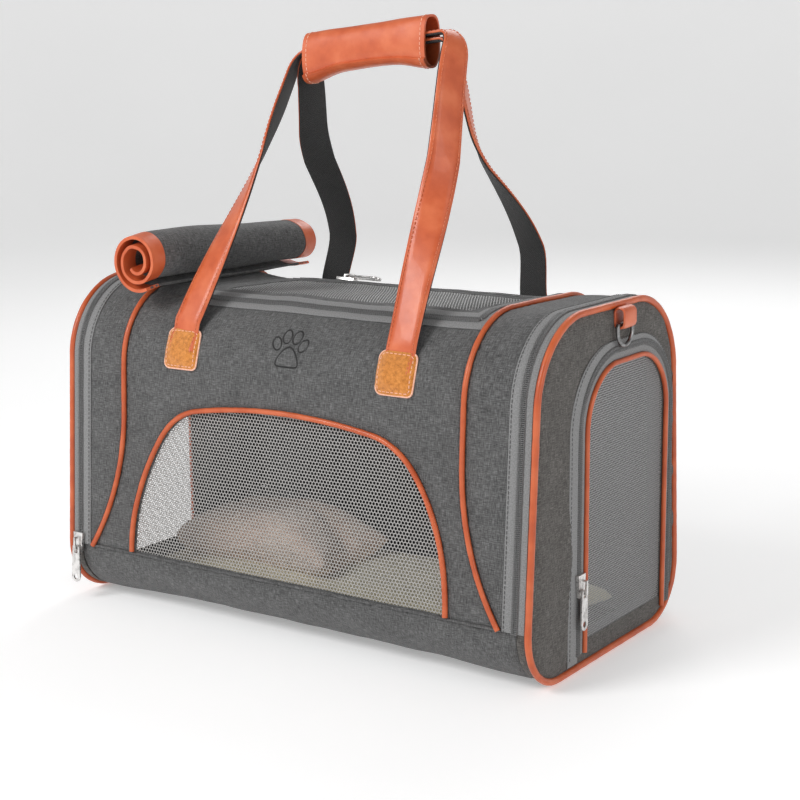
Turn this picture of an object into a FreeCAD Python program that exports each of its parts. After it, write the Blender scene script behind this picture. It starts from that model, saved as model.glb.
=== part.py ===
"""Soft-sided pet transport carrier with fold-down ends, arched mesh doors and a strap handle.

Millimetres. X runs along the length, Y towards the rear, Z up. The origin is on the floor under the
middle of the carrier. The right end is modelled once and the left end is the same, turned half a
turn about Z.
"""
import FreeCAD, Part
import math
import os
import Sketcher

V = FreeCAD.Vector
doc = FreeCAD.newDocument("pet_carrier")

# ---------------------------------------------------------------- driving dimensions
CELLS = {
    # cross-section: a rounded trapezoid, given by the centres and radii of its corner arcs
    "low_centre_y": 76.8, "low_centre_z": 48, "low_radius": 48,
    "top_centre_y": 44.4, "top_centre_z": 210, "top_radius": 70,
    # fabric shell
    "skin_inset": 3, "skin": 4, "tape": 1.2, "low_seam_z": 50,
    "body_half": 219, "end_gap": 1, "rim_length": 7, "end_plate": 4, "piping_radius": 3,
    "body_tape_width": 11,
    # curved seam between the middle panels and the gussets
    "seam_x": 169, "seam_foot_x": 205, "seam_bend_z": 170, "seam_piping_radius": 2,
    # window in the front panel: three tangent arcs each side
    "window_half": 157, "window_side_radius": 175, "window_corner_radius": 55,
    "window_side_angle": 37, "window_corner_angle": 80, "mesh": 1.2, "window_piping_radius": 2.2,
    # top opening: angles are round the top corner arc, up from horizontal
    "patch_low_angle": 4, "patch_high_angle": 32, "panel_top_angle": 63.5,
    "zip_low_angle": 55, "door_low_angle": 64.5, "door_tape_angle": 75,
    "top_hinge_x": -123, "top_hinge_gap": 1, "top_zip_x": 160, "top_zip_gap": 1, "top_tape_width": 9,
    "top_mesh_left": -104, "top_mesh_right": 136, "top_mesh_half_depth": 50,
    # rolled cover
    "roll_x": -154, "roll_radius": 26, "roll_core": 11, "roll_half": 110, "roll_clear": 0.3,
    "binding_length": 16, "binding_step": 0.8,
    # wires, insert, pad and blanket
    "wire_radius": 2, "hoop_inset": 9.5, "hoop_x": 212,
    "board_half_length": 204, "board_half_depth": 76.5, "board": 3,
    "pad_half_length": 203, "pad_half_depth": 90, "pad_height": 20, "pad_round": 7,
    "blanket_left": -160, "blanket_right": 20, "blanket_front": -62, "blanket_rear": 58,
    "blanket_height": 40, "blanket_round": 17,
    # folded gusset inside each end
    "gusset_inset": 13, "gusset_skin": 2, "gusset_from": 214, "gusset_to": 222,
    # arched door in each end
    "door_centre_y": 27, "door_half": 77, "door_top": 243, "door_foot": 10, "door_round": 58,
    "door_gap": 0.5, "door_skin": 2, "door_band": 22, "door_trim": 6.6,
    "door_mesh_half": 65, "door_piping_half": 67, "door_piping_radius": 2, "door_piping_rise": 4,
    "fixed_tape_front": 15, "fixed_tape_rear": 4, "fixed_tape_top": 7,
    # strap handle
    "strap_x": 106.5, "strap_width": 27, "strap_top_width": 16, "leather": 2, "webbing": 1.3,
    "patch_width": 33, "patch": 1.6, "strap_lean": 24.6, "strap_height": 245, "strap_spread": 3,
    "strap_pivot_angle": 34, "strap_pivot_clear": 2.2, "strap_start": 3,
    "front_knee_x": 93, "front_shoulder_x": 82,
    "rear_knee_x": 84, "rear_shoulder_x": 76, "strap_knee_height": 175,
    "strap_shoulder_height": 226, "strap_turn_x": 65, "strap_taper_from": 0.5,
    "strap_twist_share": 0.55,
    "grip_half": 63, "grip_radius": 14, "grip_wall": 2, "grip_centre_z": 479, "grip_side_z": 466,
    "grip_foot_z": 447, "grip_foot_half": 3.2,
    # ring, sliders and pulls
    "ring_y": 12, "loop_width": 20, "loop_low_z": 264, "loop_high_z": 270, "loop_radius": 5,
    "loop_leather": 1.8, "ring_wire": 1.6, "ring_half": 12, "ring_side": 5, "ring_sink": 1.4,
    "ring_bend": 2.5,
    "slider_clear": 0.5, "slider": 2.8, "slider_half": 9, "slider_top": 5.5, "slider_foot": 4,
    "bridge_half": 1.2, "bridge_low": -6.5, "bridge_high": 5, "bridge_bar": 1.4, "bridge_gap": 3.1,
    "pull": 1.6, "pull_top": -3, "pull_half": 5, "pull_eye_half": 1.9, "pull_eye_low": -9,
    "pull_eye_high": -4.6, "pull_foot": -35, "pull_hole": 2.4, "pull_clear": 1,
    "end_slider_z": 51, "door_slider_z": 70, "top_slider_x": -70,
}

sheet = doc.addObject("Spreadsheet::Sheet", "sizes")
for row, (alias, number) in enumerate(CELLS.items(), start=1):
    sheet.set(f"A{row}", str(number))
    sheet.setAlias(f"A{row}", alias)
doc.recompute()


class Size:
    """A length worked out from cells of the sheet: its value, and the same thing as an expression."""

    def __init__(self, value, text):
        self.value = value
        self.text = text

    def __add__(self, other):
        other = as_size(other)
        return Size(self.value + other.value, f"({self.text} + {other.text})")

    def __sub__(self, other):
        other = as_size(other)
        return Size(self.value - other.value, f"({self.text} - {other.text})")

    def __rsub__(self, other):
        return as_size(other) - self

    def __mul__(self, other):
        other = as_size(other)
        return Size(self.value * other.value, f"({self.text} * {other.text})")

    def __truediv__(self, other):
        other = as_size(other)
        return Size(self.value / other.value, f"({self.text} / {other.text})")

    def __neg__(self):
        return self * -1

    __radd__ = __add__
    __rmul__ = __mul__


def as_size(number):
    return number if isinstance(number, Size) else Size(float(number), f"({number})")


def cell(alias):
    return Size(float(sheet.get(alias)), f"sizes.{alias}")


def sine(angle):
    return Size(math.sin(math.radians(angle.value)), f"sin({angle.text} * 1 deg)")


def cosine(angle):
    return Size(math.cos(math.radians(angle.value)), f"cos({angle.text} * 1 deg)")


low_y, low_z, low_r = cell("low_centre_y"), cell("low_centre_z"), cell("low_radius")
top_y, top_z, top_r = cell("top_centre_y"), cell("top_centre_z"), cell("top_radius")
skin_inset, skin, tape = cell("skin_inset"), cell("skin"), cell("tape")
low_seam = cell("low_seam_z")
body_half = cell("body_half")
end_start = body_half + cell("end_gap")
plate_start = end_start + cell("rim_length")
plate_face = plate_start + cell("end_plate")
height = top_z + top_r

# how far the sides lean inwards, from the tangent line of the two corner arcs
SIDE_LEAN = (math.atan2(low_y.value - top_y.value, top_z.value - low_z.value)
             - math.asin((top_r.value - low_r.value)
                         / math.hypot(low_y.value - top_y.value, top_z.value - low_z.value)))
HALF_TURN = FreeCAD.Placement(V(0, 0, 0), FreeCAD.Rotation(V(0, 0, 1), 180))
UNTURNED = FreeCAD.Placement()
FAR = 400  # reaches past the whole carrier, for cuts


# ---------------------------------------------------------------- drawing helpers
def origin_plane(body, role):
    return [feature for feature in body.Origin.OriginFeatures if feature.Role == role][0]


def new_body(label):
    body = doc.addObject("PartDesign::Body", label)
    body.Label = label
    return body


def new_sketch(body, role, offset=None):
    """A sketch on one of the body's own planes, moved along the plane's normal by offset."""
    sketch = body.newObject("Sketcher::SketchObject", f"{body.Name}_outline")
    sketch.AttachmentSupport = [(origin_plane(body, role), "")]
    sketch.MapMode = "FlatFace"
    if offset is not None:
        sketch.AttachmentOffset = FreeCAD.Placement(V(0, 0, offset.value), FreeCAD.Rotation())
        sketch.setExpression("AttachmentOffset.Base.z", offset.text)
    return sketch


def bind(sketch, kind, *where, size):
    """Adds a dimension and binds it to its expression."""
    index = sketch.addConstraint(Sketcher.Constraint(kind, *where, size.value))
    sketch.setExpression(f"Constraints[{index}]", size.text)


def arc_centre(start, end, radius):
    """Centre of the arc from start to end; a positive radius turns left, a negative one right."""
    chord = end - start
    across = V(-chord.y, chord.x, 0).normalize()
    rise = math.sqrt(max(radius * radius - chord.Length ** 2 / 4, 0))
    return (start + end) * 0.5 + across * (rise if radius > 0 else -rise)


def draw(sketch, corners, closed=True):
    """Draws an outline. A corner is (u, v), or (u, v, radius) when an arc leads to it."""
    corners = [tuple(as_size(part) for part in corner) for corner in corners]
    points = [V(corner[0].value, corner[1].value, 0) for corner in corners]
    first = sketch.GeometryCount
    count = len(corners) if closed else len(corners) - 1
    ends = []
    for index in range(count):
        target = (index + 1) % len(corners)
        start, end = points[index], points[target]
        if len(corners[target]) == 2:
            sketch.addGeometry(Part.LineSegment(start, end))
            ends.append((1, 2))
            continue
        radius = corners[target][2]
        centre = arc_centre(start, end, radius.value)
        angles = [math.atan2(point.y - centre.y, point.x - centre.x) for point in (start, end)]
        if radius.value < 0:
            angles.reverse()
        circle = Part.Circle(centre, V(0, 0, 1), abs(radius.value))
        sketch.addGeometry(Part.ArcOfCircle(circle, *angles))
        ends.append((1, 2) if radius.value > 0 else (2, 1))
        size = radius if radius.value > 0 else -radius
        bind(sketch, "Radius", first + index, size=size)
    for index in range(count if closed else count - 1):
        after = (index + 1) % count
        sketch.addConstraint(Sketcher.Constraint(
            "Coincident", first + index, ends[index][1], first + after, ends[after][0]))
    for index, corner in enumerate(corners):
        edge, end = (index, 0) if index < count else (index - 1, 1)
        bind(sketch, "DistanceX", first + edge, ends[edge][end], size=corner[0])
        bind(sketch, "DistanceY", first + edge, ends[edge][end], size=corner[1])


def draw_circle(sketch, across, up, radius):
    index = sketch.addGeometry(Part.Circle(V(across.value, up.value, 0), V(0, 0, 1), radius.value))
    bind(sketch, "DistanceX", index, 3, size=across)
    bind(sketch, "DistanceY", index, 3, size=up)
    bind(sketch, "Radius", index, size=radius)


def profile_corners(inset):
    """The carrier's cross-section moved inwards, counter-clockwise from the middle of the floor."""
    low, top = low_r - inset, top_r - inset
    lean = Size(math.degrees(SIDE_LEAN), f"({math.degrees(SIDE_LEAN)})")
    rise, run = sine(lean), cosine(lean)
    return [
        (0, low_z - low), (low_y, low_z - low), (low_y + low * run, low_z + low * rise, low),
        (top_y + top * run, top_z + top * rise), (top_y, top_z + top, top),
        (-top_y, top_z + top), (-top_y - top * run, top_z + top * rise, top),
        (-low_y - low * run, low_z + low * rise), (-low_y, low_z - low, low),
    ]


def top_corner(side, radius, angle):
    """A point round the top corner arc: side -1 is the front, 1 the rear."""
    return (side * (top_y + radius * cosine(angle)), top_z + radius * sine(angle))


def pad(body, sketch, length):
    feature = body.newObject("PartDesign::Pad", f"{body.Name}_pad")
    feature.Profile = sketch
    feature.Length = length.value
    feature.setExpression("Length", length.text)
    return feature


def cut(body, role, *outlines):
    """Cuts the outlines right through the body, both ways from the plane."""
    doc.recompute()
    before = body.Shape.Volume
    sketch = new_sketch(body, role)
    for corners in outlines:
        draw(sketch, corners)
    pocket = body.newObject("PartDesign::Pocket", f"{body.Name}_cut")
    pocket.Profile = sketch
    pocket.SideType = "Symmetric"
    pocket.Type = "ThroughAll"
    doc.recompute()
    if body.Shape.Volume > before - 1:
        raise RuntimeError(f"{body.Label}: a cut removed nothing")


def band(label, start, end, outer, inner):
    """A ring of fabric that follows the cross-section, between two insets, from start to end in X."""
    body = new_body(label)
    sketch = new_sketch(body, "YZ_Plane", start)
    draw(sketch, profile_corners(outer))
    draw(sketch, profile_corners(inner))
    pad(body, sketch, end - start)
    return body


def pipe(label, spine_role, corners, offset, ring_role, centre, radius, closed=False):
    """A round cord along the outline corners; its ring sketch stands on ring_role at centre."""
    body = new_body(label)
    spine = new_sketch(body, spine_role, offset)
    draw(spine, corners, closed)
    ring = new_sketch(body, ring_role, centre[2] if len(centre) > 2 else None)
    draw_circle(ring, as_size(centre[0]), as_size(centre[1]), radius)
    feature = body.newObject("PartDesign::AdditivePipe", f"{label}_pipe")
    feature.Profile = ring
    feature.Spine = spine
    return body


def block(label, low, high):
    """A box between two corners whose entries are sizes."""
    box = doc.addObject("Part::Box", label)
    box.Label = label
    for name, index in (("Length", 0), ("Width", 1), ("Height", 2)):
        box.setExpression(name, (as_size(high[index]) - low[index]).text)
    for name, index in (("x", 0), ("y", 1), ("z", 2)):
        box.setExpression(f"Placement.Base.{name}", as_size(low[index]).text)
    return box


def group(label, *members):
    """Several identical solids that share one node."""
    compound = doc.addObject("Part::Compound", label)
    compound.Label = label
    compound.Links = list(members)
    return compound


def rounded(label, source, radius, edges):
    """A box with some of its edges rounded."""
    fillet = doc.addObject("Part::Fillet", label)
    fillet.Label = label
    fillet.Base = source
    fillet.Edges = [(edge, radius.value, radius.value) for edge in edges]
    return fillet


def feature(label, shape, placement=UNTURNED):
    """A sub-part whose shape is made with Part's functions from the sheet's values."""
    part = doc.addObject("Part::Feature", label)
    part.Label = label
    part.Shape = shape
    part.Placement = placement
    return part


parts = []  # the sub-parts, in the order in which they are written


def keep(*objects):
    parts.extend(objects)
    return objects[-1]


# ---------------------------------------------------------------- regions used by several cuts
def seam_corners(side, far):
    """Outline between a curved seam and x = far * side, above the low seam."""
    foot, x = cell("seam_foot_x"), cell("seam_x")
    run, rise = foot - x, cell("seam_bend_z") - low_seam
    radius = (run * run + rise * rise) / (run * 2)
    return [
        (side * far, low_seam), (side * foot, low_seam),
        (side * x, cell("seam_bend_z"), radius * -side), (side * x, FAR), (side * far, FAR),
    ]


def below(z):
    return [(-FAR, -FAR), (FAR, -FAR), (FAR, z), (-FAR, z)]


def all_but_side(side, low, angle):
    """Everything except one side of the section, from height low up to an angle on the top arc."""
    tip_y, tip_z = top_corner(side, as_size(FAR), angle)
    inner_y = side * top_y
    return [
        (inner_y, top_z), (tip_y, tip_z), (tip_y, FAR), (side * -FAR, FAR), (side * -FAR, -FAR),
        (side * FAR, -FAR), (side * FAR, low), (inner_y, low),
    ]


def below_angle(angle):
    """Everything below the two radial lines at an angle on the top corner arcs."""
    front, rear = top_corner(-1, as_size(200), angle), top_corner(1, as_size(200), angle)
    return [(-top_y, top_z), front, (-FAR, front[1]), (-FAR, -FAR), (FAR, -FAR), (FAR, rear[1]),
            rear, (top_y, top_z)]


def trim(body, inset):
    """Cuts away what lies outside the cross-section at an inset."""
    cut(body, "YZ_Plane", [(-FAR, -FAR), (FAR, -FAR), (FAR, FAR), (-FAR, FAR)],
        profile_corners(inset))


# ---------------------------------------------------------------- body: panels
inner = skin_inset + skin

tub = keep(band("base_tub", -body_half, body_half, skin_inset, inner))
cut(tub, "YZ_Plane", [(-FAR, low_seam), (FAR, low_seam), (FAR, FAR), (-FAR, FAR)])

seam_foot = cell("seam_foot_x")
for label, side in (("front_panel", -1), ("rear_panel", 1)):
    panel = keep(band(label, -seam_foot, seam_foot, skin_inset, inner))
    cut(panel, "YZ_Plane", all_but_side(side, low_seam, cell("panel_top_angle")))
    cut(panel, "XZ_Plane", seam_corners(1, FAR), seam_corners(-1, FAR))

for label, side in (("left_gusset_panel", -1), ("right_gusset_panel", 1)):
    near, far = side * cell("seam_x"), side * body_half
    start, end = (near, far) if side > 0 else (far, near)
    panel = keep(band(label, start, end, skin_inset, inner))
    cut(panel, "XZ_Plane", seam_corners(side, 100))
    cut(panel, "YZ_Plane", below(low_seam))

# ---------------------------------------------------------------- body: window
def window_corners(grow=0):
    """The arched window, from its left foot over the top to its right foot."""
    half, side_r = cell("window_half") + grow, cell("window_side_radius") + grow
    corner_r = cell("window_corner_radius") + grow
    side_a, corner_a = cell("window_side_angle"), cell("window_corner_angle")
    foot = low_seam + 2
    side_x, side_z = half - side_r + side_r * cosine(side_a), foot + side_r * sine(side_a)
    centre_x, centre_z = side_x - corner_r * cosine(side_a), side_z - corner_r * sine(side_a)
    top_x, arch_z = centre_x + corner_r * cosine(corner_a), centre_z + corner_r * sine(corner_a)
    crown_r = top_x / cosine(corner_a)
    return [(-half, foot), (-side_x, side_z, -side_r), (-top_x, arch_z, -corner_r),
            (top_x, arch_z, -crown_r), (side_x, side_z, -corner_r), (half, foot, -side_r)]


cut(doc.getObject("front_panel"), "XZ_Plane", window_corners())

window_mesh = keep(band("front_window_mesh", -cell("window_half"), cell("window_half"),
                        skin_inset + 1.4, skin_inset + 1.4 + cell("mesh")))
cut(window_mesh, "YZ_Plane", all_but_side(-1, low_seam + 2, as_size(10)))
cut(window_mesh, "XZ_Plane", window_corners(),
    [(-FAR, -FAR), (FAR, -FAR), (FAR, FAR), (-FAR, FAR)])

FACE_AT_FLOOR = (low_y.value + low_z.value * math.tan(SIDE_LEAN)
                 + (low_r.value - skin_inset.value) / math.cos(SIDE_LEAN))
front_face = FreeCAD.Placement(V(0, -FACE_AT_FLOOR, 0),
                               FreeCAD.Rotation(V(1, 0, 0), -math.degrees(SIDE_LEAN)))
piping_r = cell("window_piping_radius")
window_piping = keep(pipe("front_window_piping", "XZ_Plane", window_corners(piping_r), piping_r,
                          "XY_Plane", (-cell("window_half") - piping_r, -piping_r, low_seam + 2),
                          piping_r))
window_piping.Placement = front_face

# ---------------------------------------------------------------- body: curved seam pipings
def face_point(x, z, inset, side):
    """A point on the sloping side of the section, side -1 at the front and 1 at the rear."""
    depth = (low_y.value + (low_z.value - z) * math.tan(SIDE_LEAN)
             + (low_r.value - inset) / math.cos(SIDE_LEAN))
    return V(x, side * depth, z)


def corner_arc(x, inset, side):
    """The top corner's arc at x, from the sloping side to the flat top."""
    radius = top_r.value - inset
    middle = (SIDE_LEAN + math.pi / 2) / 2
    spots = [V(x, side * (top_y.value + radius * math.cos(angle)),
               top_z.value + radius * math.sin(angle)) for angle in (SIDE_LEAN, middle, math.pi / 2)]
    return spots if side < 0 else spots[::-1]


def flare_arc(side_x, inset, side):
    """The seam's curved foot: from the low seam to where the seam runs straight up."""
    foot, x = cell("seam_foot_x").value, cell("seam_x").value
    low, bend = low_seam.value, cell("seam_bend_z").value
    radius = ((foot - x) ** 2 + (bend - low) ** 2) / (2 * (foot - x))
    turn = math.asin((bend - low) / radius) / 2
    middle = (x + radius * (1 - math.cos(turn)), bend - radius * math.sin(turn))
    spots = [face_point(side_x * across, up, inset, side)
             for across, up in ((foot, low), middle, (x, bend))]
    return spots if side < 0 else spots[::-1]


def seam_cord(side_x):
    """The piping on one curved seam, from the front over the top and down the rear."""
    radius = cell("seam_piping_radius").value
    inset = skin_inset.value - radius
    x = side_x * cell("seam_x").value
    front_flare, front_top = flare_arc(side_x, inset, -1), corner_arc(x, inset, -1)
    rear_top, rear_flare = corner_arc(x, inset, 1), flare_arc(side_x, inset, 1)
    edges = [Part.Arc(*front_flare), Part.LineSegment(front_flare[2], front_top[0]),
             Part.Arc(*front_top), Part.LineSegment(front_top[2], rear_top[0]),
             Part.Arc(*rear_top), Part.LineSegment(rear_top[2], rear_flare[0]),
             Part.Arc(*rear_flare)]
    wire = Part.Wire([edge.toShape() for edge in edges])
    ring = Part.Wire(Part.makeCircle(radius, front_flare[0], wire.Edges[0].tangentAt(
        wire.Edges[0].FirstParameter)))
    return wire.makePipeShell([ring], True, False)


keep(group("seam_pipings", *(feature(label, seam_cord(side)) for label, side in (
    ("left_seam_cord", -1), ("right_seam_cord", 1)))))

# ---------------------------------------------------------------- body: top surround and top zip
hinge_x, hinge_gap = cell("top_hinge_x"), cell("top_hinge_gap")
zip_x, half_gap = cell("top_zip_x"), cell("top_zip_gap") / 2
zip_inset = skin_inset - tape
seam_x, seam_r = cell("seam_x"), cell("seam_piping_radius")

for label, start, end in (("top_left_strip", -seam_x, hinge_x),
                          ("top_right_strip", zip_x + half_gap, seam_x)):
    top_strip = keep(band(label, start, end, skin_inset, inner))
    cut(top_strip, "YZ_Plane", below_angle(cell("panel_top_angle")))


def cross_rectangle(start, end, half_depth):
    return [(start, -half_depth), (end, -half_depth), (end, half_depth), (start, half_depth)]


def depth_at(angle):
    """Half the depth of the top opening at an angle on the top corner arc."""
    return top_y + (top_r - skin_inset) * cosine(angle)


top_tape = keep(band("top_zip_tape", hinge_x + hinge_gap, seam_x - seam_r, zip_inset, skin_inset))
cut(top_tape, "YZ_Plane", below_angle(cell("zip_low_angle")))
cut(top_tape, "XY_Plane",
    cross_rectangle(-FAR, zip_x + half_gap, depth_at(cell("panel_top_angle"))))

# ---------------------------------------------------------------- body: strap patches
patch_near = cell("strap_x") - cell("patch_width") / 2
patch_far = cell("strap_x") + cell("patch_width") / 2
patch_foot_z = top_z + (top_r - skin_inset) * sine(cell("patch_low_angle"))
for label, side in (("front_strap_patches", -1), ("rear_strap_patches", 1)):
    patches = keep(band(label, -patch_far, patch_far, skin_inset - cell("patch"), skin_inset))
    cut(patches, "YZ_Plane", all_but_side(side, patch_foot_z, cell("patch_high_angle")))
    cut(patches, "XZ_Plane", [(-patch_near, -FAR), (patch_near, -FAR), (patch_near, FAR),
                              (-patch_near, FAR)])

# ---------------------------------------------------------------- body: rolled cover
roll_z = height - skin_inset + cell("roll_clear") + cell("roll_radius")
roll_x, roll_half = cell("roll_x"), cell("roll_half")
binding, step = cell("binding_length"), cell("binding_step")


def tube(body, start, end, outer, inner_radius):
    """A tube along Y about the roll's axis; the XZ plane's normal is -Y."""
    sketch = new_sketch(body, "XZ_Plane", -end)
    draw_circle(sketch, roll_x, roll_z, outer)
    draw_circle(sketch, roll_x, roll_z, inner_radius)
    pad(body, sketch, end - start)


roll = keep(new_body("cover_roll"))
tube(roll, -roll_half + binding, roll_half - binding, cell("roll_radius"), cell("roll_core"))
end_tubes = []
for label, start, end in (("front_binding", -roll_half, -roll_half + binding),
                          ("rear_binding", roll_half - binding, roll_half)):
    end_tubes.append(new_body(label))
    tube(end_tubes[-1], start, end, cell("roll_radius") + step / 4, cell("roll_core") - step)
keep(group("cover_binding", *end_tubes))

# ---------------------------------------------------------------- body: wires and inside
hoop_inset, hoop_x = cell("hoop_inset"), cell("hoop_x")
hoops = []
for label, placement in (("right_hoop", UNTURNED), ("left_hoop", HALF_TURN)):
    hoops.append(pipe(label, "YZ_Plane", profile_corners(hoop_inset), hoop_x, "XZ_Plane",
                      (hoop_x, hoop_inset), cell("wire_radius"), closed=True))
    hoops[-1].Placement = placement
keep(group("hoop_wires", *hoops))

board_half, board_depth = cell("board_half_length"), cell("board_half_depth")
board_top = inner + cell("board")
keep(block("base_board", (-board_half, -board_depth, inner), (board_half, board_depth, board_top)))

pad_half, pad_depth = cell("pad_half_length"), cell("pad_half_depth")
pad_top = board_top + cell("pad_height")
pad_block = block("floor_pad_block", (-pad_half, -pad_depth, board_top),
                  (pad_half, pad_depth, pad_top))
blanket_block = block("blanket_block", (cell("blanket_left"), cell("blanket_front"), pad_top),
                      (cell("blanket_right"), cell("blanket_rear"),
                       pad_top + cell("blanket_height")))
doc.recompute()
keep(rounded("floor_pad", pad_block, cell("pad_round"), (1, 3, 5, 7, 9, 10, 11, 12)))
keep(rounded("fleece_blanket", blanket_block, cell("blanket_round"), (2, 6, 10, 12)))

# ---------------------------------------------------------------- body and ends: zips and gussets
def open_foot(body):
    """Leaves the ring open along the flat of the floor."""
    cut(body, "YZ_Plane", [(-low_y, -FAR), (low_y, -FAR), (low_y, low_z), (-low_y, low_z)])


def arch(left, right, foot, top, radius):
    """A doorway outline with two rounded top corners, counter-clockwise in the YZ plane."""
    return [(left, foot), (right, foot), (right, top - radius), (right - radius, top, radius),
            (left + radius, top), (left, top - radius, radius)]


door_y, door_half, door_top = cell("door_centre_y"), cell("door_half"), cell("door_top")
door_foot, door_round = cell("door_foot"), cell("door_round")


def door_arch(shrink, foot):
    """The door's outline, moved inwards by shrink, standing on foot."""
    return arch(door_y - door_half + shrink, door_y + door_half - shrink, foot,
                door_top - shrink, door_round - shrink)


def plate(label, start, thickness, *outlines):
    """A flat plate across X whose first outline is its edge and the others its holes."""
    body = new_body(label)
    sketch = new_sketch(body, "YZ_Plane", start)
    for corners in outlines:
        draw(sketch, corners)
    pad(body, sketch, thickness)
    return body


def slider(label):
    """Zip slider: outward is -Y, the teeth run along Z, with a bridge for the pull."""
    body = new_body(label)
    front = new_sketch(body, "XZ_Plane", cell("slider_clear"))
    half, top, foot = cell("slider_half"), cell("slider_top"), cell("slider_foot")
    draw(front, [(-foot, -half), (foot, -half), (top, half), (-top, half)])
    pad(body, front, cell("slider"))
    near = cell("slider_clear") + cell("slider")
    bar, gap = cell("bridge_bar"), cell("bridge_gap")
    low, high, bridge = cell("bridge_low"), cell("bridge_high"), cell("bridge_half")
    side = new_sketch(body, "YZ_Plane", -bridge)
    draw(side, [(-near, low), (-near - gap - bar, low), (-near - gap - bar, high), (-near, high),
                (-near, high - bar), (-near - gap, high - bar), (-near - gap, low + bar),
                (-near, low + bar)])
    pad(body, side, bridge * 2)
    return body


def pull(label):
    """Pull tab hanging from a slider's bridge, in the slider's own frame."""
    body = new_body(label)
    near = cell("slider_clear") + cell("slider") + cell("pull_clear")
    front = new_sketch(body, "XZ_Plane", near)
    half, eye = cell("pull_half"), cell("pull_eye_half")
    top, foot = cell("pull_top"), cell("pull_foot")
    draw(front, [(-half, foot + half), (0, foot, half), (half, foot + half, half),
                 (half * 0.8, top), (half * -0.8, top)])
    draw(front, [(-eye, cell("pull_eye_low")), (eye, cell("pull_eye_low")),
                 (eye, cell("pull_eye_high")), (-eye, cell("pull_eye_high"))])
    draw_circle(front, as_size(0), foot + half, cell("pull_hole"))
    pad(body, front, cell("pull"))
    return body


def turned(base, axis, degrees, placement):
    """A frame at base, turned about axis, then carried by the placement of its end."""
    return placement * FreeCAD.Placement(base, FreeCAD.Rotation(axis, degrees))


# the end sliders' frame: on the sloping rear side of the right end, facing +Y
END_SLIDER = FreeCAD.Placement(
    face_point(body_half.value + 0.5, cell("end_slider_z").value, zip_inset.value, 1),
    FreeCAD.Rotation(V(1, 0, 0), math.degrees(SIDE_LEAN)) * FreeCAD.Rotation(V(0, 0, 1), 180))


body_tapes = []
for label, placement in (("right_body_tape", UNTURNED), ("left_body_tape", HALF_TURN)):
    body_tapes.append(band(label, body_half - cell("body_tape_width"), body_half,
                           zip_inset, skin_inset))
    open_foot(body_tapes[-1])
    body_tapes[-1].Placement = placement
keep(group("body_zip_tapes", *body_tapes))


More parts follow.
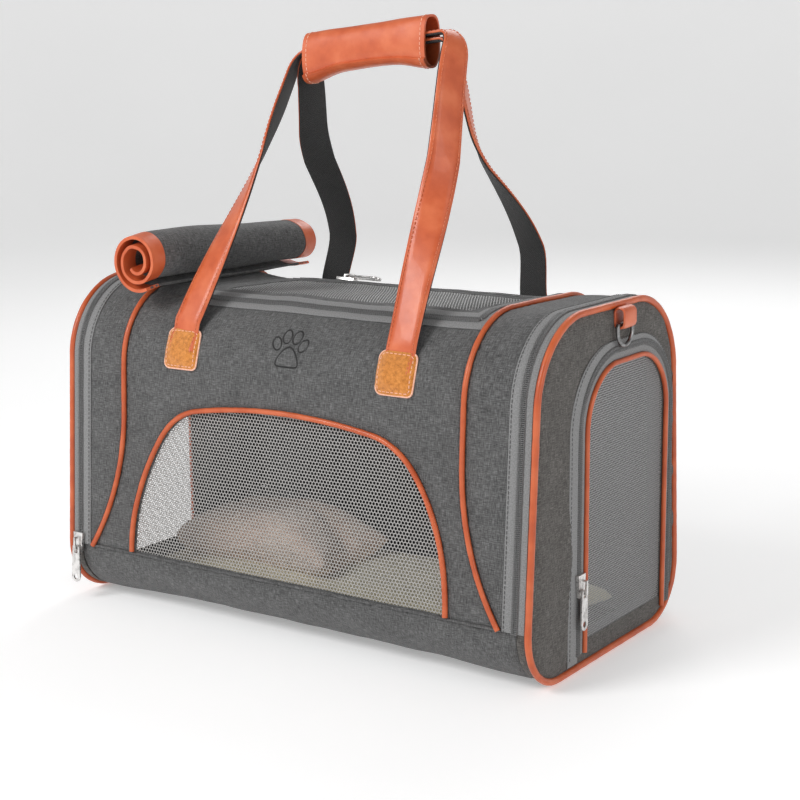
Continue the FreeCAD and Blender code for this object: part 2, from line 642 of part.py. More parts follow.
def build_end(name, placement):
    """One fold-down end with its door; placement turns it to the left or the right."""
    made = []
    made.append(band(f"{name}_folded_gusset", cell("gusset_from"), cell("gusset_to"),
                     cell("gusset_inset"), cell("gusset_inset") + cell("gusset_skin")))

    # end panel: a shallow tray whose rim carries the end's half of the zip
    panel = band(f"{name}_end_panel", end_start, plate_start, skin_inset, inner)
    face = new_sketch(panel, "YZ_Plane", plate_start)
    piping_r = cell("piping_radius")
    draw(face, profile_corners(piping_r * 2 + 0.05))
    pad(panel, face, cell("end_plate"))
    cut(panel, "YZ_Plane", door_arch(as_size(0), door_foot))
    made.append(panel)

    made.append(pipe(f"{name}_edge_piping", "YZ_Plane", profile_corners(piping_r),
                     plate_start + piping_r, "XZ_Plane", (plate_start + piping_r, piping_r),
                     piping_r, closed=True))
    end_tape = band(f"{name}_end_zip_tape", end_start, plate_start, zip_inset, skin_inset)
    open_foot(end_tape)
    made.append(end_tape)

    # the end's half of the door zip, open at its foot
    front, rear = cell("fixed_tape_front"), cell("fixed_tape_rear")
    tape_foot = door_foot - 2
    fixed = plate(f"{name}_door_frame_tape", plate_face, tape,
                  arch(door_y - door_half - front, door_y + door_half + rear, tape_foot,
                       door_top + cell("fixed_tape_top"), door_round + 6))
    cut(fixed, "YZ_Plane", door_arch(as_size(0), as_size(-FAR)))
    trim(fixed, cell("door_trim"))
    made.append(fixed)

    # ring loop: a leather band round the ring's straight bar
    loop = new_body(f"{name}_ring_loop")
    loop_low, loop_high = cell("loop_low_z"), cell("loop_high_z")
    loop_r, leather = cell("loop_radius"), cell("loop_leather")
    loop_x = plate_face + loop_r
    side = new_sketch(loop, "XZ_Plane", -(cell("ring_y") + cell("loop_width") / 2))
    for radius in (loop_r, loop_r - leather):
        draw(side, [(loop_x - radius, loop_low), (loop_x, loop_low - radius, radius),
                    (loop_x + radius, loop_low, radius), (loop_x + radius, loop_high),
                    (loop_x, loop_high + radius, radius), (loop_x - radius, loop_high, radius)])
    pad(loop, side, cell("loop_width"))
    made.append(loop)

    # D-ring: a wire along a D, its straight bar at the bottom of the loop
    bar_z = loop_low - cell("ring_sink")
    ring_half, ring_y, wire = cell("ring_half"), cell("ring_y"), cell("ring_wire")
    side_z = bar_z - cell("ring_side")
    bend = cell("ring_bend")
    made.append(pipe(f"{name}_ring", "YZ_Plane",
                     [(ring_y, bar_z), (ring_y - ring_half + bend, bar_z),
                      (ring_y - ring_half, bar_z - bend, bend), (ring_y - ring_half, side_z),
                      (ring_y, side_z - ring_half, ring_half),
                      (ring_y + ring_half, side_z, ring_half),
                      (ring_y + ring_half, bar_z - bend),
                      (ring_y + ring_half - bend, bar_z, bend)],
                     loop_x, "XZ_Plane", (loop_x, bar_z, -ring_y), wire, closed=True))

    # door
    gap, door_skin = cell("door_gap"), cell("door_skin")
    door_face = plate_face - door_skin
    mesh_shrink = door_half - cell("door_mesh_half")
    mesh_hole = door_arch(mesh_shrink, cell("door_band"))
    border = plate(f"{name}_door_border", door_face, door_skin,
                   door_arch(gap, door_foot + gap), mesh_hole)
    trim(border, cell("door_trim"))
    made.append(border)
    made.append(plate(f"{name}_door_mesh", door_face + gap, cell("mesh"), mesh_hole))
    cord_r = cell("door_piping_radius")
    cord_shrink = door_half - cell("door_piping_half")
    cord_foot = door_foot + cell("door_piping_rise")
    cord = door_arch(cord_shrink, cord_foot)
    made.append(pipe(f"{name}_door_piping", "YZ_Plane", cord[1:] + cord[:1], plate_face + cord_r,
                     "XY_Plane", (plate_face + cord_r, door_y + cell("door_piping_half"),
                                  cord_foot), cord_r))
    door_tape = plate(f"{name}_door_zip_tape", plate_face, tape, door_arch(gap, door_foot + gap))
    cut(door_tape, "YZ_Plane", door_arch(cord_shrink - cord_r - gap, as_size(-FAR)))
    trim(door_tape, cell("door_trim"))
    made.append(door_tape)

    for piece in made:
        piece.Placement = placement

    # sliders and pulls stand in frames of their own
    door_frame = turned(V(plate_face.value + tape.value, door_y.value - door_half.value,
                          cell("door_slider_z").value), V(0, 0, 1), 90, placement)
    for label, shape in ((f"{name}_end_slider", slider), (f"{name}_end_pull", pull)):
        made.append(shape(label))
        made[-1].Placement = placement * END_SLIDER
    for label, shape in ((f"{name}_door_slider", slider), (f"{name}_door_pull", pull)):
        made.append(shape(label))
        made[-1].Placement = door_frame
    keep(*made)


build_end("right", UNTURNED)
build_end("left", HALF_TURN)

# ---------------------------------------------------------------- top door
door_left, door_right = hinge_x + hinge_gap, zip_x - half_gap
border = keep(band("top_door_border", door_left, door_right, skin_inset, skin_inset + 3))
cut(border, "YZ_Plane", below_angle(cell("door_low_angle")))
hole = (cell("top_mesh_left"), cell("top_mesh_right"), cell("top_mesh_half_depth"))
cut(border, "XY_Plane", cross_rectangle(*hole))

net = keep(band("top_door_mesh", hole[0], hole[1], skin_inset + 1, skin_inset + 1 + cell("mesh")))
cut(net, "XY_Plane", cross_rectangle(hole[0] - 1, hole[1] + 1, as_size(FAR)),
    cross_rectangle(*hole))
cut(net, "YZ_Plane", below(top_z))

door_strip = keep(band("top_door_zip_tape", door_left, door_right, zip_inset, skin_inset))
cut(door_strip, "YZ_Plane", below_angle(cell("door_low_angle")))
cut(door_strip, "XY_Plane", cross_rectangle(-FAR, door_right - cell("top_tape_width"),
                                            depth_at(cell("door_tape_angle"))))

# the slider runs along the rear zip; its teeth direction is X and it faces up and back
teeth_angle = math.radians((cell("panel_top_angle").value + cell("door_low_angle").value) / 2)
teeth_r = top_r.value - zip_inset.value
TOP_SLIDER = FreeCAD.Placement(
    V(cell("top_slider_x").value, top_y.value + teeth_r * math.cos(teeth_angle),
      top_z.value + teeth_r * math.sin(teeth_angle)),
    FreeCAD.Rotation(V(0, math.sin(teeth_angle), -math.cos(teeth_angle)),
                     V(0, -math.cos(teeth_angle), -math.sin(teeth_angle)), V(-1, 0, 0), "ZYX"))
for label, shape in (("top_slider", slider), ("top_pull", pull)):
    keep(shape(label)).Placement = TOP_SLIDER

# ---------------------------------------------------------------- strap handle
def bezier(points, share):
    """Position and direction on a cubic curve through four in-plane points."""
    spread = 1 - share
    weights = (spread ** 3, 3 * share * spread ** 2, 3 * share ** 2 * spread, share ** 3)
    slopes = (-3 * spread ** 2, 3 * spread ** 2 - 6 * share * spread,
              6 * share * spread - 3 * share ** 2, 3 * share ** 2)
    place, way = V(0, 0, 0), V(0, 0, 0)
    for point, weight, slope in zip(points, weights, slopes):
        place += point * weight
        way += point * slope
    return place, way.normalize()


def smooth(share):
    share = min(max(share, 0), 1)
    return share * share * (3 - 2 * share)


# Steps along the curve of a strap's leg and along its corner at the grip
leg_steps, corner_steps = 9, 5


def strap_stations(name, spread):
    """Centre, width direction, outward direction and width at each station, foot to foot.

    One strap arches inside the other: spread raises it, or lowers it where it is negative.
    """
    top_height = cell("strap_height").value + spread
    knee = V(cell(f"{name}_knee_x").value, cell("strap_knee_height").value, 0)
    shoulder = V(cell(f"{name}_shoulder_x").value,
                 cell("strap_shoulder_height").value + spread, 0)
    foot = V(cell("strap_x").value, cell("strap_start").value, 0)
    leg = (foot, V(foot.x, foot.y + knee.y * 0.55, 0), knee, shoulder)
    turn_x = cell("strap_turn_x").value
    corner = (shoulder, shoulder + (shoulder - knee) * 0.22,
              V((shoulder.x + turn_x) / 2, top_height, 0), V(turn_x, top_height, 0))
    shares = ([(leg, index / leg_steps) for index in range(leg_steps)]
              + [(corner, index / corner_steps) for index in range(corner_steps + 1)])

    lean = math.radians(cell("strap_lean").value)
    up, outward = V(0, math.sin(lean), math.cos(lean)), V(0, -math.cos(lean), math.sin(lean))
    pivot_angle = math.radians(cell("strap_pivot_angle").value)
    pivot_r = (top_r - skin_inset + cell("patch") + cell("strap_pivot_clear")).value
    pivot = V(0, -top_y.value - pivot_r * math.cos(pivot_angle),
              top_z.value + pivot_r * math.sin(pivot_angle))
    wide, narrow = cell("strap_width").value, cell("strap_top_width").value
    taper_from = cell("strap_taper_from").value

    right = []
    for index, (curve, share) in enumerate(shares):
        place, way = bezier(curve, share)
        along = index / (len(shares) - 1)
        twist = -smooth(along / cell("strap_twist_share").value) * (math.pi / 2 - lean)
        flat = V(way.y, 0, 0) - up * way.x
        across = flat * math.cos(twist) + outward * math.sin(twist)
        away = outward * math.cos(twist) - flat * math.sin(twist)
        width = wide + (narrow - wide) * smooth((along - taper_from) / (1 - taper_from))
        right.append((pivot + V(place.x, 0, 0) + up * place.y, across, away, width))
    left = [tuple(V(-part.x, part.y, part.z) for part in station[:3]) + (station[3],)
            for station in reversed(right)]
    return right + left


def ribbon(stations, near, far):
    """A twisting flat strap between two distances from its middle face."""
    sections = []
    for centre, across, away, width in stations:
        half = across * (width / 2)
        spots = [centre - half + away * near, centre + half + away * near,
                 centre + half + away * far, centre - half + away * far]
        sections.append(Part.makePolygon(spots + spots[:1]))
    return Part.makeLoft(sections, True, True)


spread = cell("strap_spread").value
for name, rise, placement in (("front", spread, UNTURNED), ("rear", -spread, HALF_TURN)):
    stations = strap_stations(name, rise)
    keep(feature(f"{name}_strap_leather", ribbon(stations, 0, cell("leather").value), placement))
    keep(feature(f"{name}_strap_webbing", ribbon(stations, -cell("webbing").value, 0), placement))

grip = keep(new_body("grip_wrap"))
grip_sketch = new_sketch(grip, "YZ_Plane", -cell("grip_half"))
for wall, lift in ((as_size(0), 0), (cell("grip_wall"), 3)):
    grip_r, foot_half = cell("grip_radius") - wall, cell("grip_foot_half") - wall
    grip_z, side_z, foot_z = cell("grip_centre_z"), cell("grip_side_z"), cell("grip_foot_z") + lift
    draw(grip_sketch, [(-foot_half, foot_z), (foot_half, foot_z), (grip_r, side_z),
                       (grip_r, grip_z), (0, grip_z + grip_r, grip_r), (-grip_r, grip_z, grip_r),
                       (-grip_r, side_z)])
pad(grip, grip_sketch, cell("grip_half") * 2)

# ---------------------------------------------------------------- checks and files
doc.recompute()
for item in doc.Objects:
    if "Invalid" in item.State or "Error" in item.State:
        raise RuntimeError(f"{item.Label} did not recompute: {item.State}")
os.makedirs("parts", exist_ok=True)
for part in parts:
    if part.Shape.isNull() or not part.Shape.isValid() or not part.Shape.Solids:
        raise RuntimeError(f"{part.Label} is not a valid solid")
    part.Shape.exportStep(f"parts/{part.Label}.step")
print(f"{len(parts)} sub-parts written")
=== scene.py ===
"""Looks of the soft-sided pet transport carrier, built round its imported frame.

Shapes are written in millimetres, in the frame's own axes, and make() turns them into metres.
Cloth that follows the body is drawn flat, in (x, s): s is the distance round the cross-section from
the middle of the roof, positive down the rear and negative down the front. skin() wraps it.
"""
import math
import bpy
import bmesh
import numpy as np
from mathutils import Matrix, Vector, geometry, noise


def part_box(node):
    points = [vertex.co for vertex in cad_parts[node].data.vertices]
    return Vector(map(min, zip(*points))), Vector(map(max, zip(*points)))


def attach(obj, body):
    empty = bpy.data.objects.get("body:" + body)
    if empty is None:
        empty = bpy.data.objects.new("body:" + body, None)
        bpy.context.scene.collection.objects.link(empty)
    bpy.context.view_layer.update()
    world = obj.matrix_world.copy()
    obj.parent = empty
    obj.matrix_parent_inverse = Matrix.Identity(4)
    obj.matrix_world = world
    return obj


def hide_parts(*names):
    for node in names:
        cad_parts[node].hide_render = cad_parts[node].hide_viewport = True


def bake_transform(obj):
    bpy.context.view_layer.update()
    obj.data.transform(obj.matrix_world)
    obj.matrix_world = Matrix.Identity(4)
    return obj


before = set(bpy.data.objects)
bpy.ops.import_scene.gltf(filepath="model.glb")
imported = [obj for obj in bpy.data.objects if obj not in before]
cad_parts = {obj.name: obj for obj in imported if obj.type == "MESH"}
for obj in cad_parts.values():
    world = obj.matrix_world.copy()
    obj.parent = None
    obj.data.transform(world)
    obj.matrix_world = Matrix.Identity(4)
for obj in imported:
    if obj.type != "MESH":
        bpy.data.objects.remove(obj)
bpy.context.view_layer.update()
MM = 0.001


def box(node):
    """Lowest and highest corner of a CAD node, in millimetres."""
    low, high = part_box(node)
    return low / MM, high / MM


# ---------------------------------------------------------------- places, from the frame
SKIN = 3  # the cloth's outer face lies this far inside the end pipings' outline
BODY = box("body_zip_tapes")[1].x
END, FACE = box("right_end_zip_tape")[0].x, box("right_end_panel")[1].x
TOP_DOOR, TOP_NET = box("top_door_border"), box("top_door_mesh")
WINDOW = box("front_window_mesh")
DOOR, LOOP = box("right_door_border"), box("right_ring_loop")
ROLL, BINDING = box("cover_roll"), box("cover_binding")
PAD, BLANKET = box("floor_pad"), box("fleece_blanket")

# the cross-section: a rounded trapezoid with two arcs a side
HEIGHT = box("right_edge_piping")[1].z
LOW_Y, LOW_Z, LOW_R = 76.8, 48, 48
TOP_Y, TOP_R = 44.4, 70
TOP_Z = HEIGHT - TOP_R
APART = math.hypot(LOW_Y - TOP_Y, TOP_Z - LOW_Z)
LEAN = math.atan2(LOW_Y - TOP_Y, TOP_Z - LOW_Z) - math.asin((TOP_R - LOW_R) / APART)
ARC_TOP = TOP_Y + TOP_R * (math.pi / 2 - LEAN)
SIDE_END = ARC_TOP + math.sqrt(APART ** 2 - (TOP_R - LOW_R) ** 2)
LOW_END = SIDE_END + LOW_R * (math.pi / 2 + LEAN)
HALF_ROUND = LOW_END + LOW_Y

SIDES = (("right", 1), ("left", -1))  # the left end is the right one turned half a turn
CLOTH, TAPE_THICK = 4, 1.2
RIM = 7  # how far an end's cloth reaches back over the section
LOW_SEAM_Z = 50
# the seam between a middle panel and a gusset: straight from the roof down to its bend, then curved
SEAM_X, SEAM_FOOT_X, SEAM_BEND_Z = 169, 205, 170
# distances round the section to the edges of the top opening, of its door and of their tapes
PANEL_S, DOOR_S = 76.8, 75.6
TAPE_OUT_S, TAPE_IN_S = 87.2, 62.7


def smooth(share):
    """Eases from 0 to 1, with no slope at either."""
    share = min(max(share, 0), 1)
    return share * share * (3 - 2 * share)


def bump(value, centre, reach):
    """1 at the centre, easing to 0 a reach away."""
    return smooth(1 - abs(value - centre) / reach)


# ---------------------------------------------------------------- the wrapped cloth
def section(s):
    """(y, z) on the outline and the outward angle there."""
    along, side = abs(s), -1 if s < 0 else 1
    if along <= TOP_Y:
        y, z, angle = along, HEIGHT, math.pi / 2
    elif along <= ARC_TOP:
        angle = math.pi / 2 - (along - TOP_Y) / TOP_R
        y, z = TOP_Y + TOP_R * math.cos(angle), TOP_Z + TOP_R * math.sin(angle)
    elif along <= SIDE_END:
        down, angle = along - ARC_TOP, LEAN
        y = TOP_Y + TOP_R * math.cos(LEAN) + down * math.sin(LEAN)
        z = TOP_Z + TOP_R * math.sin(LEAN) - down * math.cos(LEAN)
    elif along <= LOW_END:
        angle = LEAN - (along - SIDE_END) / LOW_R
        y, z = LOW_Y + LOW_R * math.cos(angle), LOW_Z + LOW_R * math.sin(angle)
    else:
        y, z, angle = LOW_Y - (along - LOW_END), 0, -math.pi / 2
    return side * y, z, math.pi - angle if side < 0 else angle


def slack(x, s):
    """How far the soft cloth falls in from the taut outline: nothing at the hooped ends."""
    taut_x, ease = 198, 72
    free = smooth((taut_x - abs(x)) / ease)
    rear = smooth((s + 60) / 120)
    roof = smooth((150 - abs(s)) / 95) * (3.2 + 3.4 * rear)
    side = bump(abs(s), 225, 95) * (2.6 + 1.2 * math.sin(x / 61))
    low = bump(abs(s), LOW_END - 25, 70) * 2.6
    ripple = 1.5 * noise.noise(Vector((x / 75, s / 52, 3.1)))
    crease = 0.8 * noise.noise(Vector((x / 24 + s / 90, s / 70, 9.4)))
    near_end = bump(abs(x), 190, 26) * 0.9 * noise.noise(Vector((x / 60, s / 17, 5.5)))
    return free * (roof + side + low + ripple + crease) + near_end * bump(abs(s), 170, 150)


def skin(x, s, depth):
    """A point of the body's cloth, depth in from the outline."""
    y, z, angle = section(s)
    depth += slack(x, s)
    return Vector((x, y - depth * math.cos(angle), z - depth * math.sin(angle)))


def skin_normal(x, s):
    """The way the body's cloth faces."""
    angle = section(s)[2]
    return Vector((0, math.cos(angle), math.sin(angle)))


def under(x, s, depth):
    """The same for the base tub, where s counts from the middle of the floor."""
    return skin(x, math.copysign(HALF_ROUND - abs(s), s), depth)


def end_face(y, z, depth):
    """A point of an end's face: x grows outwards, with a slight pillow between door and edge."""
    pillow = 1.1 * noise.noise(Vector((y / 45, z / 60, 7.7))) + 0.8
    return Vector((FACE + pillow * edge_ease(y, z) - depth, y, z))


def edge_ease(y, z):
    """0 on the end's piping and at the door's zip, 1 between them."""
    outer = min(LOW_Y + 42 - abs(y), HEIGHT - 6 - z, z - 6) / 18
    door = min(abs(y - DOOR_MID) - DOOR_HALF, 30) if z < DOOR_TOP else z - DOOR_TOP
    return smooth(outer) * smooth(max(door, 0) / 12)


def door_face(y, z, depth):
    """A point of an end's face where it stays flat."""
    return Vector((FACE - depth, y, z))


def reach(z):
    """How far round from the roof's middle the side stands at a height."""
    low, high = 0, LOW_END
    while high - low > 0.01:
        middle = (low + high) / 2
        low, high = (middle, high) if section(middle)[1] > z else (low, middle)
    return low


LOW_S = reach(LOW_SEAM_Z)
PANEL_FOOT_S = LOW_S - 0.5


def seam_x(s):
    """Where the curved seam crosses, on the right half."""
    run, fall = SEAM_FOOT_X - SEAM_X, SEAM_BEND_Z - LOW_SEAM_Z
    radius = (run ** 2 + fall ** 2) / (2 * run)
    drop = max(SEAM_BEND_Z - section(s)[1], 0)
    return SEAM_X + radius - math.sqrt(radius ** 2 - drop ** 2)


# ---------------------------------------------------------------- outlines
def spread(start, end, step=4):
    """Numbers from start to end, both included, about step apart."""
    count = max(int(abs(end - start) / step), 1)
    return [start + (end - start) * index / count for index in range(count + 1)]


def dense(corners, step=4, closed=True):
    """Corners joined by straight runs of points about step apart."""
    points = []
    ends = corners[1:] + corners[:1] if closed else corners[1:]
    for a, b in zip(corners, ends):
        count = max(int(math.dist(a, b) / step), 1)
        points += [tuple(p + (q - p) * index / count for p, q in zip(a, b)) for index in range(count)]
    return points if closed else points + [corners[-1]]


def band(x0, x1, half, step=4):
    """A rectangle from x0 to x1 that reaches as far round to the rear as to the front."""
    return dense([(x0, -half), (x1, -half), (x1, half), (x0, half)], step)


def arc(centre, radius, start, end, step=4):
    """Points round a centre between two angles in degrees."""
    return [(centre[0] + radius * math.cos(a), centre[1] + radius * math.sin(a))
            for a in spread(math.radians(start), math.radians(end), step / radius)]


def rounded(low, high, radius):
    """A rectangle with round corners."""
    (x0, y0), (x1, y1) = [[v + radius for v in low], [v - radius for v in high]]
    return [point for centre, start in (((x1, y0), -90), ((x1, y1), 0), ((x0, y1), 90), ((x0, y0), 180))
            for point in arc(centre, radius, start, start + 90, 1.5)]


DOOR_MID, DOOR_HALF = (DOOR[0].y + DOOR[1].y) / 2, (DOOR[1].y - DOOR[0].y) / 2 + 0.5
DOOR_TOP, DOOR_FOOT, DOOR_ROUND = DOOR[1].z + 0.5, DOOR[0].z - 0.5, 58
DOOR_BAND = 22


def floor_at(y):
    """Lowest height at which the end's face reaches out to y."""
    beyond = max(abs(y) - LOW_Y, 0)
    inside = LOW_R - 6.6
    return LOW_Z - math.sqrt(inside ** 2 - min(beyond, inside) ** 2)


def door_arch(grow=0, foot=None, rear_grow=None):
    """The door's arch from its front foot over the top to its rear foot, as (y, z)."""
    rear_grow = grow if rear_grow is None else rear_grow
    front, rear = DOOR_MID - DOOR_HALF - grow, DOOR_MID + DOOR_HALF + rear_grow
    top, bend = DOOR_TOP + min(grow, 7), DOOR_ROUND + min(grow, 6)
    foot = DOOR_FOOT if foot is None else foot
    feet = [max(foot, floor_at(y)) for y in (front, rear)]
    return (dense([(front, feet[0]), (front, top - bend)], closed=False)[:-1]
            + arc((front + bend, top - bend), bend, 180, 90)[:-1]
            + arc((rear - bend, top - bend), bend, 90, 0)[:-1]
            + dense([(rear, top - bend), (rear, feet[1])], closed=False))


def door_outline(grow=0, foot=None):
    """The arch closed along its foot."""
    legs = door_arch(grow, foot)
    low = DOOR_FOOT if foot is None else foot
    sill = [(y, max(low, floor_at(y))) for y in spread(legs[-1][0], legs[0][0])]
    return legs + sill[1:-1]


def window_arch(grow=0):
    """The window from its left foot over the crown to its right foot, as (x, s)."""
    half, side_r, corner_r = (WINDOW[1].x - WINDOW[0].x) / 2 + grow, 175 + grow, 55 + grow
    side_a, corner_a = 37, 80
    foot = WINDOW[0].z
    side_c = (half - side_r, foot)
    turn = math.radians(side_a)
    corner_c = (side_c[0] + (side_r - corner_r) * math.cos(turn),
                foot + (side_r - corner_r) * math.sin(turn))
    turn = math.radians(corner_a)
    crown_r = corner_r + corner_c[0] / math.cos(turn)
    crown_c = (0, corner_c[1] - (crown_r - corner_r) * math.sin(turn))
    right = (arc(side_c, side_r, 0, side_a)[:-1] + arc(corner_c, corner_r, side_a, corner_a)[:-1]
             + arc(crown_c, crown_r, corner_a, 90))
    left = [(-x, z) for x, z in reversed(right[:-1])]
    return [(x, -reach(z)) for x, z in reversed(right + left)]


def window_outline(grow=0):
    """The window's arch closed along its foot."""
    arch = window_arch(grow)
    return arch + dense([arch[-1], arch[0]], closed=False)[1:-1]


# ---------------------------------------------------------------- mesh making
def make(name, verts, faces, body, finish, nodes=(), turn=1, weave=None, lining=None, sharp=40,
         closed=True):
    """One visible piece. verts are in millimetres; turn -1 is half a turn about Z.

    finish is a slot and its material; weave is each vertex's flat place on the cloth; lining is a
    second material and, for each face, 1 where it is used.
    """
    slot, material = finish
    mesh = bpy.data.meshes.new(name)
    mesh.from_pydata([(x * turn * MM, y * turn * MM, z * MM) for x, y, z in verts], [], faces)
    if closed:
        shape = bmesh.new()
        shape.from_mesh(mesh)
        bmesh.ops.recalc_face_normals(shape, faces=shape.faces)
        shape.to_mesh(mesh)
        shape.free()
    if weave is None:
        weave = [(x + y, z + y, 0) for x, y, z in verts]
    layer = mesh.attributes.new("weave", "FLOAT_VECTOR", "POINT")
    layer.data.foreach_set("vector", np.array(weave, np.float32).ravel())
    mesh.materials.append(material)
    if lining:
        mesh.materials.append(lining[0])
        mesh.polygons.foreach_set("material_index", lining[1])
    mesh.shade_smooth()
    mesh.set_sharp_from_angle(angle=math.radians(sharp))
    piece = bpy.data.objects.new(name, mesh)
    bpy.context.scene.collection.objects.link(piece)
    if body:
        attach(piece, body)
    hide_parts(*nodes)
    return piece


def inside(points, loop):
    """Which of the points lie inside a closed loop."""
    points, loop = np.asarray(points, float), np.asarray(loop, float)
    following = np.roll(loop, -1, axis=0)
    x, y = points[:, :1], points[:, 1:]
    crosses = (loop[:, 1] > y) != (following[:, 1] > y)
    rise = np.where(following[:, 1] == loop[:, 1], 1, following[:, 1] - loop[:, 1])
    at = (following[:, 0] - loop[:, 0]) * (y - loop[:, 1]) / rise + loop[:, 0]
    return (crosses & (x < at)).sum(axis=1) % 2 == 1


def within(points, outline, holes):
    """Which of the points lie inside an outline and in none of its holes."""
    kept = inside(points, outline)
    for hole in holes:
        kept &= ~inside(points, hole)
    return kept


def filling(outline, holes, grid):
    """Points and triangles that fill an outline, leaving its holes open."""
    points, edges = [], []
    for loop in [outline, *holes]:
        first = len(points)
        points += loop
        edges += [(first + i, first + (i + 1) % len(loop)) for i in range(len(loop))]
    edge_points = np.array(points)
    low, high = edge_points.min(axis=0), edge_points.max(axis=0)
    us, vs = np.arange(low[0], high[0], grid), np.arange(low[1], high[1], grid)
    lattice = np.array([(u + (row % 2) * grid / 2, v) for row, v in enumerate(vs) for u in us])
    lattice = lattice[within(lattice, outline, holes)]
    gaps = ((lattice[:, None, :] - edge_points[None, :, :]) ** 2).sum(axis=2).min(axis=1)
    lattice = lattice[gaps > (grid * 0.45) ** 2]
    points += [tuple(p) for p in lattice]
    made = geometry.delaunay_2d_cdt([Vector(p) for p in points], edges, [], 0, 1e-5)
    found, triangles = [tuple(p) for p in made[0]], made[2]
    middles = np.array([[sum(found[i][k] for i in f) / 3 for k in (0, 1)] for f in triangles])
    kept = within(middles, outline, holes)
    return found, [tuple(f) for f, wanted in zip(triangles, kept) if wanted]


def cloth(name, outline, place, depth, thickness, body, finish, nodes=(), holes=(), grid=5, turn=1,
          soft=0.32, lining=None):
    """A panel of cloth: two faces and a rolled edge. outline and holes are loops of (u, v)."""
    flat, triangles = filling(outline, holes, grid)
    count = len(flat)
    sides = {}
    for a, b, c in triangles:
        for edge in ((a, b), (b, c), (c, a)):
            key = tuple(sorted(edge))
            sides[key] = None if key in sides else edge
    rim = [edge for edge in sides.values() if edge]
    on_rim = {index for edge in rim for index in edge}
    verts = []
    for share in (0, 1):
        for index, (u, v) in enumerate(flat):
            roll = soft * thickness * (1 - 2 * share) if index in on_rim else 0
            verts.append(place(u, v, depth + share * thickness + roll))
    faces = triangles + [(c + count, b + count, a + count) for a, b, c in triangles]
    faces += [(b, a, a + count, b + count) for a, b in rim]
    back = [0] * len(triangles) + [1] * len(triangles) + [0] * len(rim)
    weave = [(u, v, 0) for u, v in flat] * 2
    return make(name, verts, faces, body, finish, nodes, turn, weave,
                (lining, back) if lining else None)


def net(name, outline, place, depth, pitch, thread, body, finish, nodes=(), turn=1):
    """Knitted net: a lattice of six-sided eyes, each with its threads round it."""
    loop = np.array(outline)
    low, high = loop.min(axis=0), loop.max(axis=0)
    row_step = 0.866 * pitch
    centres = [(u + (row % 2) * pitch / 2, v)
               for row, v in enumerate(np.arange(low[1], high[1], row_step))
               for u in np.arange(low[0], high[0], pitch)]
    centres = [c for c, wanted in zip(centres, inside(centres, outline)) if wanted]
    outer, inner = pitch / math.sqrt(3), pitch / math.sqrt(3) - thread / math.sqrt(3)
    known, verts, faces, weave = {}, [], [], []

    def vertex(u, v):
        key = (round(u * 50), round(v * 50))  # neighbouring eyes share the points of their edges
        if key not in known:
            known[key] = len(verts)
            verts.append(place(u, v, depth))
            weave.append((u, v, 0))
        return known[key]

    turns = [math.radians(30 + 60 * k) for k in range(6)]
    for u, v in centres:
        out = [vertex(u + outer * math.cos(a), v + outer * math.sin(a)) for a in turns]
        hole = [vertex(u + inner * math.cos(a), v + inner * math.sin(a)) for a in turns]
        faces += [(out[k], out[k - 5], hole[k - 5], hole[k]) for k in range(6)]
    return make(name, verts, faces, body, finish, nodes, turn, weave, closed=False)


def wound(rings, around, closed=False, caps=True):
    """Faces that join rings of points, each of the same number of points, in a row or a loop."""
    faces = []
    for ring in range(rings if closed else rings - 1):
        a, b = ring * around, (ring + 1) % rings * around
        faces += [(a + k, a + (k + 1) % around, b + (k + 1) % around, b + k) for k in range(around)]
    if caps and not closed:
        faces += [tuple(range(around)), tuple(range((rings - 1) * around, rings * around))]
    return faces


def two_layers(rows, columns):
    """Faces of two equal grids of points, one over the other, joined round their edges."""
    wide, count = columns + 1, (rows + 1) * (columns + 1)
    faces = [(a, a + 1, a + wide + 1, a + wide) for base in (0, count) for i in range(rows)
             for a in range(base + i * wide, base + i * wide + columns)]
    border = [*range(columns), *range(columns, count - 1, wide),
              *range(count - 1, count - wide, -1), *range(count - wide, 0, -wide)]
    return faces + [(a, b, b + count, a + count) for a, b in zip(border, border[1:] + border[:1])]


def along(points, step):
    """The polyline's points again, step apart, with their directions."""
    points = [Vector(p) for p in points]
    lengths = [0]
    for a, b in zip(points, points[1:]):
        lengths.append(lengths[-1] + (b - a).length)
    count = max(int(lengths[-1] / step), 1)
    found, index = [], 0
    for number in range(count + 1):
        target = lengths[-1] * number / count
        while index < len(points) - 2 and lengths[index + 1] < target:
            index += 1
        run = points[index + 1] - points[index]
        share = (target - lengths[index]) / max(run.length, 1e-6)
        found.append((points[index] + run * share, run.normalized()))
    return found


def tube(points, radius, sides=12, closed=False, wobble=0.0):
    """Vertices and faces of a round cord along points."""
    points = [Vector(p) for p in points]
    count = len(points)
    verts, side = [], None
    for index, point in enumerate(points):
        before = points[index - 1] if closed or index else point
        after = points[(index + 1) % count] if closed or index < count - 1 else point
        way = (after - before).normalized()
        if side is None:
            side = way.orthogonal().normalized()
        side = (side - way * side.dot(way)).normalized()
        other = way.cross(side)
        thick = radius * (1 + wobble * noise.noise(point / 6))
        for k in range(sides):
            a = 2 * math.pi * k / sides
            verts.append(point + (side * math.cos(a) + other * math.sin(a)) * thick)
    return verts, wound(count, sides, closed)


CORD_WOBBLE = 0.08  # the small unevenness of a sewn cover, over the cord's radius


def cord(name, points, radius, body, finish, nodes=(), turn=1, closed=False, step=2.5):
    """Piping: a leather-covered cord."""
    line = [p for p, _ in along(points + points[:1] if closed else points, step)]
    shape = tube(line[:-1] if closed else line, radius, closed=closed, wobble=CORD_WOBBLE)
    return make(name, *shape, body, finish, nodes, turn)


BAR_LEVELS = ((0, 1), (0.6, 0.92), (1, 0.55))  # height and size, over the whole bar's
BAR_FACES = wound(3, 4, caps=False) + [(3, 2, 1, 0), (8, 9, 10, 11)]


